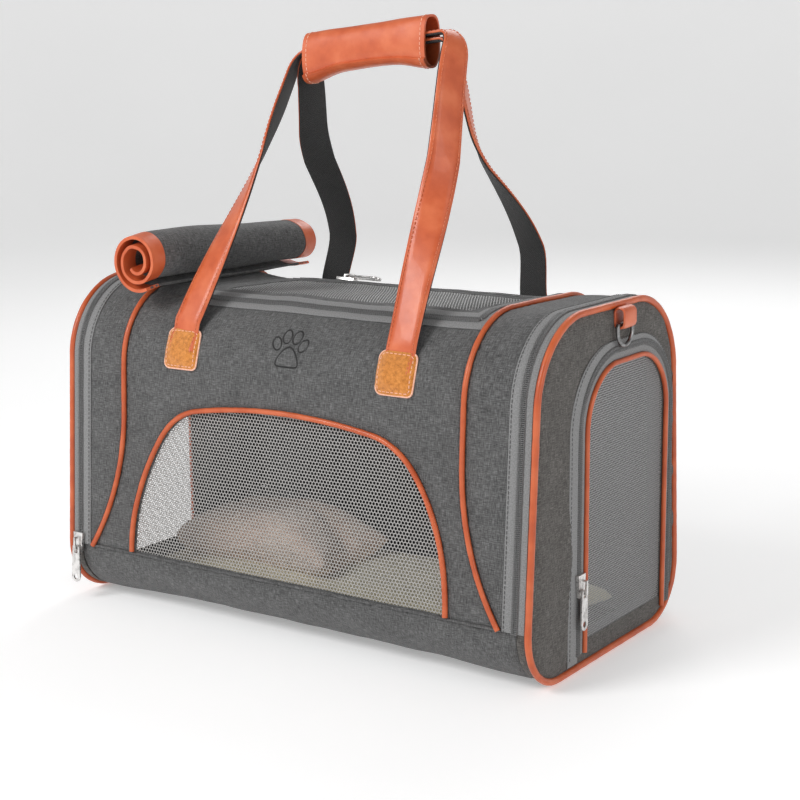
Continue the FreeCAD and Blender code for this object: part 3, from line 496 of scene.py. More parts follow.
def bars(track, pitch, size, offset=0.0, rise=0.0):
    """Small rounded bars along a track of (point, normal): stitches or the teeth of a zip."""
    length, width, tall = size
    normals = [n for _, n in track]
    verts, faces = [], []
    spots = along([p for p, _ in track], pitch)
    for number, (point, way) in enumerate(spots):
        normal = normals[min(int(number * len(normals) / len(spots)), len(normals) - 1)]
        normal = (normal - way * normal.dot(way)).normalized()
        across = way.cross(normal)
        middle = point + across * offset + normal * rise
        faces += [tuple(len(verts) + index for index in face) for face in BAR_FACES]
        for level, shrink in BAR_LEVELS:
            for u, v in ((-1, -1), (1, -1), (1, 1), (-1, 1)):
                verts.append(middle + way * (u * length / 2 * shrink)
                             + across * (v * width / 2 * shrink) + normal * (tall * level))
    return verts, faces


def joined(parts):
    """Several vertex and face lists as one."""
    verts, faces = [], []
    for more_verts, more_faces in parts:
        faces += [tuple(i + len(verts) for i in face) for face in more_faces]
        verts += more_verts
    return verts, faces


def track_on(path, place, normal, step=2):
    """A track along a flat path of (u, v), laid on the surface that place and normal give."""
    flat = [p for p, _ in along([(u, v, 0) for u, v in path], step)]
    return [(place(u, v), normal(u, v)) for u, v, _ in flat]


def skin_track(path, depth, step=2):
    """A track on the body's cloth along a path of (x, s)."""
    return track_on(path, lambda x, s: skin(x, s, depth), skin_normal, step)


def face_track(path, depth):
    """A track on an end's face along a path of (y, z)."""
    return track_on(path, lambda y, z: door_face(y, z, depth), lambda y, z: Vector((1, 0, 0)))


# length, width and height of a bar, and the distance from one to the next
TOOTH, TOOTH_PITCH = (0.85, 3.0, 1.3), 1.45
STITCH, STITCH_PITCH = (2.5, 0.65, 0.5), 3.7
TOOTH_OFFSET, STITCH_SUNK = 1.35, 0.1


def teeth(name, track, side, body, turn=1):
    """One half of a zip's coil; side is 1 or -1."""
    verts, faces = bars(track, TOOTH_PITCH, TOOTH, offset=side * TOOTH_OFFSET)
    return make(name, verts, faces, body, COIL, turn=turn, sharp=60)


def stitching(name, tracks, body, finish, turn=1, pitch=STITCH_PITCH, size=STITCH):
    """Stitches sunk a little into the cloth along several tracks."""
    verts, faces = joined([bars(track, pitch, size, rise=-STITCH_SUNK) for track in tracks])
    return make(name, verts, faces, body, finish, turn=turn, sharp=60)


# ---------------------------------------------------------------- materials
def shade(tree, kind, links=None, values=None, **settings):
    """Adds a shader node: links are sockets, values are numbers or colours for its inputs."""
    made = tree.nodes.new("ShaderNode" + kind)
    for key, setting in settings.items():
        setattr(made, key, setting)
    for key, value in (values or {}).items():
        made.inputs[key].default_value = value
    for key, socket in (links or {}).items():
        tree.links.new(socket, made.inputs[key])
    return made


def maths(tree, operation, *values):
    """The result of one sum on sockets and numbers."""
    made = tree.nodes.new("ShaderNodeMath")
    made.operation = operation
    for socket, value in zip(made.inputs, values):
        if isinstance(value, (int, float)):
            socket.default_value = value
        else:
            tree.links.new(value, socket)
    return made.outputs[0]


def ramp(tree, factor, *stops):
    """A colour ramp from (place, colour) stops."""
    made = tree.nodes.new("ShaderNodeValToRGB")
    tree.links.new(factor, made.inputs[0])
    elements = made.color_ramp.elements
    while len(elements) < len(stops):
        elements.new(0.5)
    for element, (place, colour) in zip(elements, stops):
        element.position = place
        element.color = (*colour, 1)
    return made.outputs[0]


def begin(name, **plain):
    """A material, its tree and its main shader, with plain values set on the shader's sockets."""
    material = bpy.data.materials.new(name)
    material.use_nodes = True
    tree = material.node_tree
    main = tree.nodes["Principled BSDF"]
    for key, value in plain.items():
        main.inputs[key.replace("_", " ")].default_value = value
    return material, tree, main


def paint(tree, main, factor, *stops):
    """Colours the shader by a ramp."""
    tree.links.new(ramp(tree, factor, *stops), main.inputs["Base Color"])


def flat_place(tree, scale=(1, 1, 1), turn=0.0):
    """The flat place on the cloth in millimetres, stretched and turned."""
    source = shade(tree, "Attribute", attribute_name="weave").outputs["Vector"]
    return shade(tree, "Mapping", {"Vector": source},
                 {"Scale": scale, "Rotation": (0, 0, turn)}).outputs[0]


def solid_place(tree, scale=1000.0):
    """The place in space, in millimetres unless another scale is given."""
    source = shade(tree, "TexCoord").outputs["Object"]
    return shade(tree, "Mapping", {"Vector": source}, {"Scale": (scale,) * 3}).outputs[0]


def cloud(tree, place, scale, detail=2.0, rough=0.5):
    """Soft noise."""
    return shade(tree, "TexNoise", {"Vector": place},
                 {"Scale": scale, "Detail": detail, "Roughness": rough}).outputs["Fac"]


def weave_height(tree, pitch):
    """Raised where the threads of a plain weave cross, for a thread pitch in millimetres."""
    turn = 2 * math.pi / pitch
    parts = shade(tree, "SeparateXYZ", {"Vector": flat_place(tree, (turn, turn, turn))})
    return maths(tree, "MULTIPLY", maths(tree, "SINE", parts.outputs[0]),
                  maths(tree, "SINE", parts.outputs[1]))


def emboss(tree, main, height, strength, distance=0.0004):
    """Raises the surface by a height; distance is in metres."""
    made = shade(tree, "Bump", {"Height": height}, {"Strength": strength, "Distance": distance})
    tree.links.new(made.outputs[0], main.inputs["Normal"])


def mix(tree, factor, a, b):
    """Two colours mixed; factor, a and b are sockets, or b is a colour."""
    made = tree.nodes.new("ShaderNodeMix")
    made.data_type = "RGBA"
    tree.links.new(factor, made.inputs[0])
    tree.links.new(a, made.inputs[6])
    made.inputs[7].default_value = (*b, 1)
    return made.outputs[2]


def grey(value, warm=0.0):
    """A grey, the redder the warmer."""
    return value * (1 + warm), value, value * (1 - warm)


def heather(name, dark, middle, light):
    """Melange oxford: dark and pale fibres drawn out along both thread directions."""
    material, tree, main = begin(name, Roughness=0.93, Sheen_Weight=0.15, Specular_IOR_Level=0.2)
    warp = cloud(tree, flat_place(tree, (0.16, 1.5, 1)), 1.0, 3, 0.6)
    weft = cloud(tree, flat_place(tree, (1.5, 0.16, 1)), 1.0, 3, 0.6)
    threads = weave_height(tree, 1.1)
    melange = maths(tree, "MULTIPLY", maths(tree, "ADD", warp, weft), 0.5)
    mottle = cloud(tree, flat_place(tree, (0.05, 0.05, 1)), 1.0, 2)
    value = maths(tree, "ADD", melange, maths(tree, "MULTIPLY", threads, 0.035))
    value = maths(tree, "ADD", value, maths(tree, "MULTIPLY_ADD", mottle, 0.1, -0.05))
    paint(tree, main, value, (0.36, dark), (0.5, middle), (0.66, light))
    emboss(tree, main, maths(tree, "ADD", threads, melange), 0.35, 0.0003)
    return material


def leather(name, colour, pale, deep):
    """Coated leather: a fine pebbled grain, soft gloss and paler worn ridges."""
    material, tree, main = begin(name, Roughness=0.42, Specular_IOR_Level=0.5, Coat_Weight=0.12)
    place = solid_place(tree)
    grain = shade(tree, "TexVoronoi", {"Vector": place}, {"Scale": 1.3}).outputs["Distance"]
    patches = cloud(tree, place, 0.05, 3)
    base = ramp(tree, patches, (0.35, deep), (0.5, colour), (0.68, pale))
    tree.links.new(mix(tree, maths(tree, "MULTIPLY", grain, 0.16), base, pale),
                   main.inputs["Base Color"])
    rough = maths(tree, "MULTIPLY_ADD", cloud(tree, place, 0.3), 0.2, 0.3)
    tree.links.new(rough, main.inputs["Roughness"])
    emboss(tree, main, maths(tree, "ADD", grain, cloud(tree, place, 0.12, 3)), 0.22, 0.0003)
    return material


def suede(name):
    """Brushed leather with a short nap."""
    material, tree, main = begin(name, Roughness=0.95, Sheen_Weight=0.5, Specular_IOR_Level=0.15)
    place = solid_place(tree)
    nap = cloud(tree, place, 0.35, 5, 0.7)
    paint(tree, main, nap, (0.3, (0.38, 0.13, 0.024)), (0.5, (0.60, 0.22, 0.042)),
          (0.72, (0.76, 0.32, 0.075)))
    emboss(tree, main, cloud(tree, place, 2.2, 4, 0.7), 0.6, 0.0004)
    return material


def ribbed(name, dark, light, pitch, roughness=0.85, turn=0.0, weight=0.3):
    """Woven tape: ribs across it, with a fleck of darker yarn."""
    material, tree, main = begin(name, Roughness=roughness, Sheen_Weight=0.1)
    parts = shade(tree, "SeparateXYZ", {"Vector": flat_place(tree, (1, 1, 1), turn)})
    ribs, cross = (maths(tree, "SINE", maths(tree, "MULTIPLY", parts.outputs[axis],
                                             2 * math.pi / pitch)) for axis in (0, 1))
    height = maths(tree, "ADD", ribs, maths(tree, "MULTIPLY", cross, 0.6))
    fleck = cloud(tree, flat_place(tree, (0.9, 0.9, 1)), 1.0, 3)
    value = maths(tree, "MULTIPLY_ADD", height, 0.06, fleck)
    paint(tree, main, value, (0.3, dark), (0.65, light))
    emboss(tree, main, height, weight, 0.0003)
    return material


def knit(name, dark, light, roughness=0.6):
    """The threads of a net: smooth polyester with a little unevenness."""
    material, tree, main = begin(name, Roughness=roughness, Sheen_Weight=0.2)
    value = cloud(tree, flat_place(tree, (1, 1, 1)), 0.6, 2)
    paint(tree, main, value, (0.3, dark), (0.7, light))
    emboss(tree, main, cloud(tree, flat_place(tree, (6, 6, 6)), 1.0), 0.2)
    return material


def fleece(name, dark, light):
    """Brushed pile: clumps a few millimetres across, and deep sheen."""
    material, tree, main = begin(name, Roughness=1.0, Sheen_Weight=0.7, Sheen_Roughness=0.6,
                                 Specular_IOR_Level=0.1)
    place = solid_place(tree)
    pile = maths(tree, "ADD", cloud(tree, place, 0.3, 4, 0.65), cloud(tree, place, 0.03, 2))
    value = maths(tree, "MULTIPLY", pile, 0.5)
    paint(tree, main, value, (0.35, dark), (0.62, light))
    emboss(tree, main, cloud(tree, place, 0.8, 5, 0.75), 0.8, 0.0012)
    return material


def metal(name, dark, light, roughness):
    """Cast metal, a little smeared."""
    material, tree, main = begin(name, Metallic=1.0)
    place = solid_place(tree)
    smear = cloud(tree, place, 0.25, 4, 0.6)
    paint(tree, main, smear, (0.3, dark), (0.6, light))
    tree.links.new(maths(tree, "MULTIPLY_ADD", smear, 0.25, roughness), main.inputs["Roughness"])
    emboss(tree, main, cloud(tree, place, 1.5, 3), 0.08, 0.0002)
    return material


def fibreboard(name):
    """Dark pressed board."""
    material, tree, main = begin(name, Roughness=0.8)
    place = solid_place(tree)
    paint(tree, main, cloud(tree, place, 0.4, 5, 0.7), (0.3, grey(0.02)), (0.7, grey(0.06)))
    emboss(tree, main, cloud(tree, place, 1.0, 4), 0.3)
    return material


# A finish is a material slot's name and the material in it.
HEATHER = "heather_fabric", heather("heather_oxford", grey(0.04), grey(0.10), grey(0.21))
END_HEATHER = "end_fabric", heather("heather_end", grey(0.031, 0.08), grey(0.085, 0.08),
                                    grey(0.185, 0.06))
LINING = ribbed("lining", grey(0.06), grey(0.12), 0.8)
ORANGE = "orange_leather", leather("orange_leather", (0.60, 0.115, 0.036), (0.68, 0.16, 0.06),
                                   (0.52, 0.088, 0.025))
PIPING = "orange_leather", leather("piping_leather", (0.54, 0.095, 0.022), (0.62, 0.13, 0.04),
                                   (0.46, 0.072, 0.015))
SUEDE = "tan_suede", suede("tan_suede")
TAPE = "zip_tape", ribbed("zip_tape_weave", grey(0.18), grey(0.28), 0.75)
COIL = "zip_tape", ribbed("zip_coil", grey(0.11), grey(0.22), 2.0, 0.45)
WEBBING = "dark_webbing", ribbed("dark_webbing", grey(0.012), grey(0.04), 1.4, 0.8,
                                 math.radians(45), 0.7)
NET = "net", knit("pale_net", grey(0.27, 0.03), grey(0.42, 0.03))
FINE_NET = "net", knit("fine_net", grey(0.28), grey(0.46))
GUSSET_NET = "net", knit("gusset_net", grey(0.10), grey(0.2))
PAD_FLEECE = "pad_fleece", fleece("pad_fleece", (0.60, 0.53, 0.31), (0.86, 0.78, 0.52))
BLANKET_FLEECE = "blanket_fleece", fleece("blanket_fleece", (0.80, 0.53, 0.40), (1.0, 0.80, 0.66))
NICKEL = "nickel", metal("nickel", grey(0.42, 0.02), grey(0.80, 0.02), 0.16)
GUNMETAL = metal("gunmetal", grey(0.12), grey(0.32), 0.18)
STRAP_THREAD = "orange_leather", knit("orange_thread", (0.50, 0.10, 0.03), (0.80, 0.25, 0.12))
PATCH_THREAD = "tan_suede", knit("pale_thread", (0.78, 0.36, 0.24), (0.95, 0.60, 0.45))
GRIP_THREAD = "orange_leather", PATCH_THREAD[1]
PAW_THREAD = "heather_fabric", knit("dark_thread", grey(0.012), grey(0.03))
SEAM_THREAD = "heather_fabric", knit("grey_thread", grey(0.06), grey(0.12))
TAPE_THREAD = "zip_tape", SEAM_THREAD[1]

# ---------------------------------------------------------------- camera and light
scene = bpy.context.scene


def camera_at(place, right, up, lens):
    """The picture's camera: a 36 mm wide frame and no shift."""
    data = bpy.data.cameras.new("camera")
    data.lens, data.sensor_width = lens, 36
    made = bpy.data.objects.new("camera", data)
    back = Vector(right).cross(Vector(up))
    made.matrix_world = Matrix.Translation(place) @ Matrix((right, up, back)).transposed().to_4x4()
    scene.collection.objects.link(made)
    scene.camera = made


def lamp(name, place, size, power):
    """A round area light turned to the middle of the carrier."""
    data = bpy.data.lights.new(name, "AREA")
    data.shape, data.size, data.energy = "DISK", size, power
    made = bpy.data.objects.new(name, data)
    made.location = place
    made.rotation_euler = (Vector((0, 0, 0.18)) - Vector(place)).to_track_quat("-Z", "Y").to_euler()
    scene.collection.objects.link(made)


def backdrop():
    """A flat round floor, in metres, that bends up into a wall all round."""
    flat, bend, sides = 3.2, 1.6, 64
    rings = [(0.6, 0)] + [(flat + bend * math.sin(a), bend * (1 - math.cos(a)))
                          for a in spread(0, math.pi / 2, math.pi / 24)]
    verts = [(0, 0, 0)] + [(r * math.cos(2 * math.pi * k / sides), r * math.sin(2 * math.pi * k / sides),
                            z) for r, z in rings for k in range(sides)]
    faces = [(0, 1 + k, 1 + (k + 1) % sides) for k in range(sides)]
    for first in range(1, 1 + (len(rings) - 1) * sides, sides):
        faces += [(first + k, first + sides + k, first + sides + (k + 1) % sides,
                   first + (k + 1) % sides) for k in range(sides)]
    mesh = bpy.data.meshes.new("floor")
    mesh.from_pydata(verts, [], faces)
    mesh.shade_smooth()
    floor = bpy.data.objects.new("floor", mesh)
    material, tree, main = begin("pale_floor", Roughness=0.9, Emission_Color=(1, 1, 1, 1),
                                 Emission_Strength=0.3)
    paint(tree, main, cloud(tree, solid_place(tree, 1.0), 2.0), (0.3, grey(0.86)), (0.7, grey(0.88)))
    mesh.materials.append(material)
    scene.collection.objects.link(floor)


def studio():
    """The camera, the lights, the world and the backdrop."""
    camera_at((0.814, -1.133, 0.462), (0.8251, 0.5649, -0.0084), (-0.1055, 0.1686, 0.9800), 75.87)
    lamp("key", (-0.7, -1.7, 1.5), 1.0, 27)
    lamp("side", (1.9, -0.5, 0.9), 1.0, 8)
    lamp("back", (-0.4, 1.7, 1.6), 1.4, 14)
    world = bpy.data.worlds.new("studio")
    world.use_nodes = True
    world.node_tree.nodes["Background"].inputs["Color"].default_value = (1, 1, 1, 1)
    world.node_tree.nodes["Background"].inputs["Strength"].default_value = 0.33
    scene.world = world
    scene.view_settings.view_transform = "Standard"
    backdrop()


# ---------------------------------------------------------------- body: panels, seams, nets
def body_cloth(name, outline, node, place=skin, **more):
    """A panel of the body's cloth, with its lining inside."""
    cloth(name, outline, place, SKIN, CLOTH, "root", HEATHER, [node], lining=LINING, **more)


def half_seam(side, start, end):
    """Points down the curved seam of one side between two places round the section."""
    return [(side * seam_x(s), s) for s in spread(start, end)]


def middle_panel(side):
    """Outline of the front (-1) or rear (1) panel, in (x, s)."""
    foot, top = side * PANEL_FOOT_S, side * PANEL_S
    return (half_seam(-1, foot, top)[:-1] + dense([(-SEAM_X, top), (SEAM_X, top)], closed=False)[:-1]
            + half_seam(1, top, foot)[:-1]
            + dense([(SEAM_FOOT_X, foot), (-SEAM_FOOT_X, foot)], closed=False)[:-1])


def panels():
    """The base, the front and rear panels, the gussets and the roof's strips."""
    body_cloth("base_tub_cloth", band(-BODY, BODY, HALF_ROUND - LOW_S - 0.4), "base_tub", under)
    body_cloth("front_panel_cloth", middle_panel(-1), "front_panel", holes=[window_outline()],
               grid=4.5)
    body_cloth("rear_panel_cloth", middle_panel(1), "rear_panel")
    for name, side in reversed(SIDES):
        edge = half_seam(side, -PANEL_FOOT_S, PANEL_FOOT_S)
        outline = edge[:-1] + dense([edge[-1], (side * BODY, PANEL_FOOT_S),
                                     (side * BODY, -PANEL_FOOT_S), edge[0]], closed=False)[:-1]
        body_cloth(f"{name}_gusset_cloth", outline, f"{name}_gusset_panel")
    for name, low, high in (("left", -SEAM_X, TOP_DOOR[0].x - 1), ("right", TOP_DOOR[1].x + 1, SEAM_X)):
        body_cloth(f"top_{name}_strip_cloth", band(low, high, PANEL_S), f"top_{name}_strip")


def seams():
    """The leather pipings on the body, and the thread beside them."""
    parts = []
    for side in (-1, 1):
        line = [skin(x, s, 1.7) for x, s in half_seam(side, -LOW_S, LOW_S)]
        parts.append(tube([p for p, _ in along(line, 2.5)], 2.1, wobble=CORD_WOBBLE))
    make("seam_piping_cords", *joined(parts), "root", PIPING, ["seam_pipings"])
    cord("window_piping_cord", [skin(x, s, 1.5) for x, s in window_arch(2)], 2.2, "root", PIPING,
         ["front_window_piping"])
    tracks = [skin_track(window_arch(6.5), SKIN)]
    for side in (-1, 1):
        tracks += [skin_track([(x + shift, s) for x, s in half_seam(side, start, end)], SKIN)
                   for shift in (-4.5, 4.5) for start, end in ((-LOW_S, -95), (95, LOW_S))]
    stitching("seam_stitches", tracks, "root", SEAM_THREAD)
    for name, side in (("front", -1), ("rear", 1)):
        foot = [skin(x, side * LOW_S, SKIN + 0.2) for x in spread(-BODY + 12, BODY - 12)]
        cord(f"{name}_low_seam", foot, 1.1, "root", HEATHER)


def window():
    """The net in the front window."""
    net("window_net", window_outline(1.6), skin, SKIN + 2, 3.1, 0.8, "root", NET,
        ["front_window_mesh"])


# ---------------------------------------------------------------- zips
def tape(name, outline, body, node, turn=1, grid=5, place=skin, depth=1.8):
    """Zip tape, sewn on the outside of the cloth."""
    cloth(name, outline, place, depth, TAPE_THICK, body, TAPE, [node], grid=grid, turn=turn)


def round_track(x, depth):
    """A track round the section from low seam to low seam."""
    return skin_track([(x, s) for s in spread(-LOW_S, LOW_S, 8)], depth)


def body_zips():
    """The body's half of both end zips."""
    start = BODY - 11  # the tape's width
    for name, turn in SIDES:
        tape(f"{name}_body_tape", band(start, BODY, LOW_S, 6), "root", "body_zip_tapes", turn)
        teeth(f"{name}_body_teeth", round_track(BODY, 1.7), -1, "root", turn)
        stitching(f"{name}_body_tape_stitches", [round_track(start + 1.6, 1.8)], "root", TAPE_THREAD,
                  turn)


def three_sides(left, right, half, inner_right, inner_half):
    """Outline of tape along the front, right and rear of the top opening."""
    return dense([(left, -half), (right, -half), (right, half), (left, half), (left, inner_half),
                  (inner_right, inner_half), (inner_right, -inner_half), (left, -inner_half)])


def top_zip():
    """Tape and coil on the roof and on its door, along three sides."""
    left, right = TOP_DOOR[0].x - 1, TOP_DOOR[1].x
    tape("top_fixed_tape", three_sides(left, right + 9.5, TAPE_OUT_S, right + 0.8, PANEL_S), "root",
         "top_zip_tape")
    tape("top_door_tape", three_sides(left + 1, right, DOOR_S, right - 9, TAPE_IN_S), "top_door",
         "top_door_zip_tape")
    coil_x, coil_s = right + 0.4, PANEL_S - 0.6
    track = skin_track([(left + 2, -coil_s), (coil_x, -coil_s), (coil_x, coil_s), (left + 2, coil_s)],
                       1.7)
    teeth("top_fixed_teeth", track, -1, "root")
    teeth("top_door_teeth", track, 1, "top_door")


def door_zip(name, turn, end, door):
    """Tape round the door's opening, tape round the door, and a half of the coil on each."""
    above = -TAPE_THICK
    tape(f"{name}_frame_tape_cloth", dense(door_arch(15, 8, 4) + door_arch(0.2, 8)[::-1]), end,
         f"{name}_door_frame_tape", turn, 3.5, door_face, above)
    tape(f"{name}_door_tape_cloth", dense(door_arch(-0.5, 13.5) + door_arch(-8, 13.5)[::-1]), door,
         f"{name}_door_zip_tape", turn, 3.5, door_face, above)
    track = face_track(door_arch(-0.2, 14), -1.1)
    teeth(f"{name}_frame_teeth", track, -1, end, turn)
    teeth(f"{name}_door_teeth", track, 1, door, turn)
    stitching(f"{name}_frame_stitches", [face_track(door_arch(12.5, 14, 2.5), above)], end,
              TAPE_THREAD, turn)


# ---------------------------------------------------------------- ends and doors
def top_door():
    """The roof's door: a border of cloth and a net."""
    low, high, net_half, lap = TOP_NET[0].x, TOP_NET[1].x, 50, 1.5
    cloth("top_door_cloth", band(TOP_DOOR[0].x, TOP_DOOR[1].x, DOOR_S), skin, SKIN, 3, "top_door",
          HEATHER, ["top_door_border"], holes=[band(low, high, net_half)])
    net("top_net", band(low - lap, high + lap, net_half + lap), skin, SKIN + 1.5, 2.6, 0.8,
        "top_door", FINE_NET, ["top_door_mesh"])


def whole_round(step):
    """Places all round the section, the first not repeated."""
    return spread(-HALF_ROUND, HALF_ROUND, step)[:-1]


def inset_section(inset, stops):
    """The section's outline at some places round it, drawn in by a distance, as (y, z)."""
    return [(y - inset * math.cos(angle), z - inset * math.sin(angle))
            for y, z, angle in (section(s) for s in stops)]


def ends():
    """Each end: cloth over its rim and its face, piping, its half of the zip, and the door."""
    for name, turn in SIDES:
        end, door = f"{name}_end", f"{name}_door"
        cloth(f"{name}_rim_cloth", band(END, END + RIM, HALF_ROUND, 6), skin, SKIN, CLOTH, end,
              END_HEATHER, [f"{name}_end_panel"], turn=turn, soft=0.1, lining=LINING)
        cloth(f"{name}_end_cloth", inset_section(5.6, whole_round(4)), end_face, 0, CLOTH, end,
              END_HEATHER, holes=[door_outline()], turn=turn, lining=LINING)
        edge = [(FACE - 1, y, z) for y, z in inset_section(SKIN, whole_round(4))]
        cord(f"{name}_edge_cord", edge, 2.7, end, PIPING, [f"{name}_edge_piping"], turn=turn,
             closed=True)
        tape(f"{name}_end_tape", band(END, END + RIM, LOW_S, 5), end, f"{name}_end_zip_tape", turn,
             3.5)
        teeth(f"{name}_end_teeth", round_track(END - 1, 1.7), 1, end, turn)
        door_zip(name, turn, end, door)
        door_panel(name, turn, door)


def door_panel(name, turn, door):
    """The door's border, its net and the piping between them."""
    cloth(f"{name}_door_cloth", door_outline(-0.5, 10.5), door_face, 0, 2, door, END_HEATHER,
          [f"{name}_door_border"], holes=[door_outline(-12, DOOR_BAND)], turn=turn)
    net(f"{name}_door_net", door_outline(-11, DOOR_BAND - 1), door_face, 1, 2.1, 0.6, door, FINE_NET,
        [f"{name}_door_mesh"], turn=turn)
    cord(f"{name}_door_cord", [door_face(y, z, -1.8) for y, z in door_arch(-10, 14)], 2, door, PIPING,
         [f"{name}_door_piping"], turn=turn)


def bellows():
    """The net gusset folded away in each end, as fixed pleats: they fan out on the carrier when the end
    folds down, but here they stay still.
    """
    folds, inset, deep = 24, 12.5, 7.5
    start, finish = 214, 222
    stops = whole_round(7)
    for name, turn in SIDES:
        verts, weave = [], []
        for ring in range(folds + 1):
            x = start + (finish - start) * ring / folds
            verts += [(x, y, z) for y, z in inset_section(inset + (deep if ring % 2 else 0), stops)]
            weave += [(ring * 9, s, 0) for s in stops]
        piece = make(f"{name}_bellows", verts, wound(folds + 1, len(stops), caps=False), None,
                     GUSSET_NET, [f"{name}_folded_gusset"], turn, weave, closed=False)
        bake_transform(piece)


# ---------------------------------------------------------------- ribbons: straps and loops
def ribbon(stations, near, far, crown=0.12):
    """A flat strap with rounded edges between two distances from its middle face."""
    thick = far - near
    shape = [(-1, 0.3), (-0.95, 0.95), (-0.5, 1 + crown), (0, 1 + crown * 1.3), (0.5, 1 + crown),
             (0.95, 0.95), (1, 0.3), (0.95, 0), (0, 0), (-0.95, 0)]
    verts, weave = [], []
    run = 0
    for index, (centre, across, away, width) in enumerate(stations):
        run += (centre - stations[index - 1][0]).length if index else 0
        for u, v in shape:
            verts.append(centre + across * (u * width / 2) + away * (near + v * thick))
            weave.append((run, u * width / 2, 0))
    return verts, wound(len(stations), len(shape)), weave


# Where a strap folds: round its pivot, over the top corner. It leans back from there to the grip.
PIVOT_ANGLE = math.radians(34)
PIVOT_R = TOP_R - SKIN + 3.8
PIVOT_Y = -TOP_Y - PIVOT_R * math.cos(PIVOT_ANGLE)
PIVOT_Z = TOP_Z + PIVOT_R * math.sin(PIVOT_ANGLE)
STRAP_LEAN = math.radians(24.6)
UP = Vector((0, math.sin(STRAP_LEAN), math.cos(STRAP_LEAN)))
OUTWARD = Vector((0, -math.cos(STRAP_LEAN), math.sin(STRAP_LEAN)))
STRAP_X, STRAP_WIDE, STRAP_NARROW = 106.5, 27, 16
FOOT_RISE, KNEE_RISE, SHOULDER_RISE, GRIP_RISE, GRIP_X = 3, 175, 226, 245, 65


def bezier(points, share):
    """Place and direction on a cubic curve."""
    spare = 1 - share
    weights = (spare ** 3, 3 * share * spare ** 2, 3 * share ** 2 * spare, share ** 3)
    slopes = (-3 * spare ** 2, 3 * spare ** 2 - 6 * share * spare,
              6 * share * spare - 3 * share ** 2, 3 * share ** 2)
    place, way = (sum((p * w for p, w in zip(points, each)), Vector((0, 0)))
                  for each in (weights, slopes))
    return place, way.normalized()


def tilted(point, turn, sway, start, finish):
    """The handle hangs a little askew: it sways to the right and its right end stands higher."""
    share = min(max((point.z - start) / (finish - start), 0), 1)
    lift = turn * point.x * 0.1 * smooth((point.z - 380) / 80)
    return point + Vector((turn * sway * share, 0, lift))


def bow_share(rise, span):
    """How much of its bow a strap has at a share of its climb; span: start, full, fade, end."""
    start, full, fade, end = span
    return smooth((rise - start) / (full - start)) * smooth((end - rise) / (end - fade))


def tucked_foot(across):
    """Stations of a strap's foot, from under its patch out to the pivot."""
    found = []
    for angle in spread(math.radians(17), math.radians(33), math.radians(2)):
        away = Vector((0, -math.cos(angle), math.sin(angle)))
        ease = smooth((math.degrees(angle) - 28) / 8)
        sunk = slack(STRAP_X, -TOP_Y - TOP_R * (math.pi / 2 - angle)) * (1 - ease)
        centre = Vector((STRAP_X, -TOP_Y, TOP_Z)) + away * (TOP_R - SKIN + 0.9 + 2.9 * ease - sunk)
        found.append((centre, across, away, STRAP_WIDE))
    return found


def strap_stations(knee_x, shoulder_x, belly, span, higher):
    """Stations of one strap, foot to foot, as if in front; it twists as it climbs to the grip."""
    foot, knee = Vector((STRAP_X, FOOT_RISE)), Vector((knee_x, KNEE_RISE))
    shoulder = Vector((shoulder_x, SHOULDER_RISE + higher))
    top = GRIP_RISE + higher
    leg = (foot, foot.lerp(knee, 0.5), knee, shoulder)
    corner = (shoulder, shoulder + (shoulder - knee) * 0.22,
              Vector(((shoulder.x + GRIP_X) / 2, top)), Vector((GRIP_X, top)))
    leg_steps, corner_steps, finer = 9, 5, 5  # the CAD's steps, and the stations to each
    leg_count, corner_count = leg_steps * finer, corner_steps * finer
    shares = ([(leg, k / leg_count, k / finer) for k in range(leg_count)]
              + [(corner, k / corner_count, leg_steps + k / finer) for k in range(corner_count + 1)])
    pivot = Vector((0, PIVOT_Y, PIVOT_Z))
    right = []
    for curve, share, count in shares:
        place, way = bezier(curve, share)
        rise = count / (leg_steps + corner_steps)
        twist = -smooth(rise / 0.55) * (math.pi / 2 - STRAP_LEAN)
        flat = Vector((way.y, 0, 0)) - UP * way.x
        across = flat * math.cos(twist) + OUTWARD * math.sin(twist)
        away = OUTWARD * math.cos(twist) - flat * math.sin(twist)
        width = STRAP_WIDE - (STRAP_WIDE - STRAP_NARROW) * smooth((rise - 0.5) / 0.5)
        bow = OUTWARD * (belly * bow_share(rise, span))
        right.append((pivot + Vector((place.x, 0, 0)) + UP * place.y + bow, across, away, width))
    right = tucked_foot(right[0][1]) + right
    left = [(Vector((-c.x, c.y, c.z)), Vector((-a.x, a.y, a.z)), Vector((-o.x, o.y, o.z)), w)
            for c, a, o, w in reversed(right)]
    return right + left


